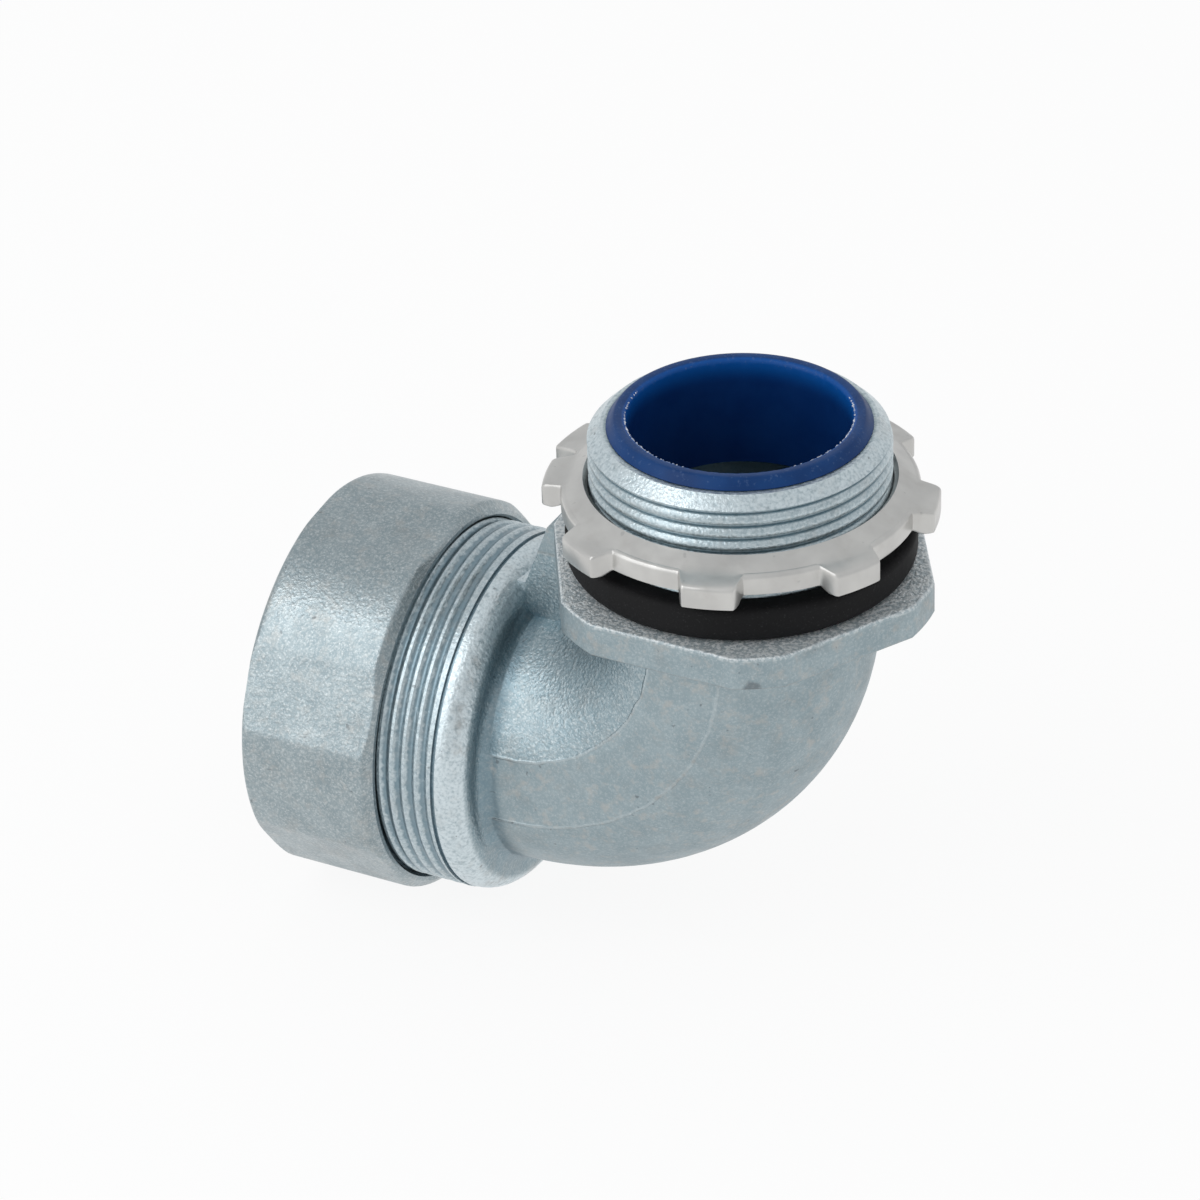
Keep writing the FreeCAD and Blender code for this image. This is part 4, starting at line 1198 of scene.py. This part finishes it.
def build_shreds():
    """Lumps on an edge, thinned out away from two places."""
    tree, given, result = new_group("lip_shreds", {
        "Edge Radius": "Float", "Edge Height": "Float", "Places": "Int", "First Side": "Vector",
        "Second Side": "Vector", "Spread": "Float", "Shred Size": "Float", "Seed": "Int",
        "Finish": "Material"}, {"Shreds": "Geometry"}, "GeometryNodeTree")
    seed = given["Seed"]
    edge = add_node(
        tree, "GeometryNodeMeshCircle", {"Vertices": given["Places"], "Radius": given["Edge Radius"]})
    where = add_node(tree, "GeometryNodeInputPosition").outputs[0]
    near_first = distance(tree, where, given["First Side"])
    near_second = distance(tree, where, given["Second Side"])
    nearest = calculate(tree, "MINIMUM", near_first, near_second)
    luck = add_node(tree, "FunctionNodeRandomValue", {"Seed": seed}, data_type="FLOAT").outputs[1]
    far = calculate(tree, "GREATER_THAN", nearest, both(tree, given["Spread"], luck))
    thin_out = add_node(tree, "GeometryNodeDeleteGeometry", {
        "Geometry": edge.outputs["Mesh"], "Selection": far}, domain="POINT")
    shred = add_node(
        tree, "GeometryNodeMeshIcoSphere", {"Subdivisions": 1, "Radius": given["Shred Size"]})
    stand = add_node(tree, "GeometryNodeInstanceOnPoints", {
        "Points": thin_out.outputs["Geometry"], "Instance": shred.outputs["Mesh"],
        "Scale": random_vector(tree, SHRED_SMALLEST, SHRED_LARGEST, seed),
        "Rotation": random_vector(tree, (0.0, 0.0, 0.0), SHRED_TURN, seed)})
    lifted = move(tree, stand.outputs["Instances"], Translation=along_z(tree, given["Edge Height"]))
    return end_tree(tree, lifted, given["Finish"], result)


def edge_point(degrees):
    """A point of the lip's inner edge, before it is raised."""
    angle = math.radians(degrees)
    return (SHRED_EDGE * MM * math.cos(angle), SHRED_EDGE * MM * math.sin(angle), 0.0)


shreds = run_tree("lip_shreds", build_shreds(), {
    "Edge Radius": SHRED_EDGE * MM, "Edge Height": SHRED_HEIGHT * MM, "Places": 520,
    "First Side": edge_point(SHRED_SIDES[0]), "Second Side": edge_point(SHRED_SIDES[1]),
    "Spread": SHRED_SPREAD * MM, "Shred Size": SHRED_SIZE * MM, "Seed": 5, "Finish": shred_plastic})
finish_piece(shreds, shred_plastic, "connector", "liner_plastic")

# %% [markdown]
# ## Pieces kept from the solids
# The gasket, the sealing ring and the ferrule have the right form already, so they stay and only take a
# finish. It goes into the solid's material slots, which leaves the mesh untouched.

# %% Dress the kept solids
for node, finish in (
    ("sealing_gasket", gasket_rubber), ("sealing_ring", ring_plastic), ("conduit_ferrule", ferrule_steel),
):
    for material_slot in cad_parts[node].material_slots:
        material_slot.material = finish
    print(node, "takes", finish.name)

# %% [markdown]
# ## Floor and light
# The photograph has a white ground and soft light from the upper left. Metal shows its surroundings, so they
# decide how it looks. The floor is white for the camera and in reflections. The world is a plain pale grey,
# which keeps the faces that look up a little darker than those that see the floor. One large softbox lights
# the front and the left, and a small lamp beside it puts the glints on the grain.

# %% Lay the floor and set the light
FLOOR_GAP = 0.05 * MM
FLOOR_HALF = 3.0
FLOOR_WHITE = (0.93, 0.93, 0.93, 1.0)
FLOOR_ROUGHNESS = 0.9
FLOOR_GLOW = 0.90
PURE_WHITE = (1.0, 1.0, 1.0, 1.0)
SURROUNDINGS = (0.715, 0.725, 0.735, 1.0)
LIT_POINT = Vector((-0.018, 0.0, -0.020))
LAMP_DISTANCE = 0.80


def seen_directly(tree):
    """1 for rays of the camera, of reflections and of glass, and 0 for the light itself."""
    rays = add_node(tree, "ShaderNodeLightPath").outputs
    mirror = calculate(tree, "MAXIMUM", rays["Is Glossy Ray"], rays["Is Transmission Ray"])
    return calculate(tree, "MAXIMUM", rays["Is Camera Ray"], mirror)


def make_floor():
    """White paper under the part, which glows where it is seen directly."""
    lowest = solid_box[0][2] - FLOOR_GAP
    mesh = bpy.data.meshes.new("floor")
    signs = [(-1, -1), (1, -1), (1, 1), (-1, 1)]
    mesh.from_pydata([(x * FLOOR_HALF, y * FLOOR_HALF, lowest) for x, y in signs], [], [(0, 1, 2, 3)])
    floor = add_object("floor", mesh)
    material, tree, shader, position = new_material("floor_paper")
    put_surface(tree, shader, FLOOR_WHITE, FLOOR_ROUGHNESS)
    glow = add_node(tree, "ShaderNodeEmission", {"Color": PURE_WHITE})
    mix = add_node(tree, "ShaderNodeMixShader", {
        0: both(tree, seen_directly(tree), FLOOR_GLOW), 1: shader.outputs[0], 2: glow.outputs[0]})
    feed(tree, tree.nodes["Material Output"].inputs["Surface"], mix.outputs[0])
    mesh.materials.append(material)


def make_world():
    """A plain pale room."""
    world = bpy.data.worlds.new("pale_room")
    bpy.context.scene.world = world
    world.use_nodes = True
    world.node_tree.nodes["Background"].inputs["Color"].default_value = SURROUNDINGS


def softbox(name, direction, wide, tall, power):
    """A lamp that looks at the middle of the object."""
    lamp = bpy.data.lights.new(name, "AREA")
    lamp.shape = "RECTANGLE"
    lamp.size = wide
    lamp.size_y = tall
    lamp.energy = power
    away = Vector(direction).normalized()
    turned = away.to_track_quat("Z", "Y").to_matrix().to_4x4()
    add_object(name, lamp).matrix_world = Matrix.Translation(LIT_POINT + away * LAMP_DISTANCE) @ turned
    print(name, "shines with %.1f W" % power)


make_floor()
make_world()
softbox("key_softbox", (-0.45, -0.68, 0.50), 0.60, 0.90, 1.90)
softbox("small_lamp", (-0.42, -0.50, 0.75), 0.12, 0.12, 0.2)
bpy.context.scene.view_settings.view_transform = "Standard"
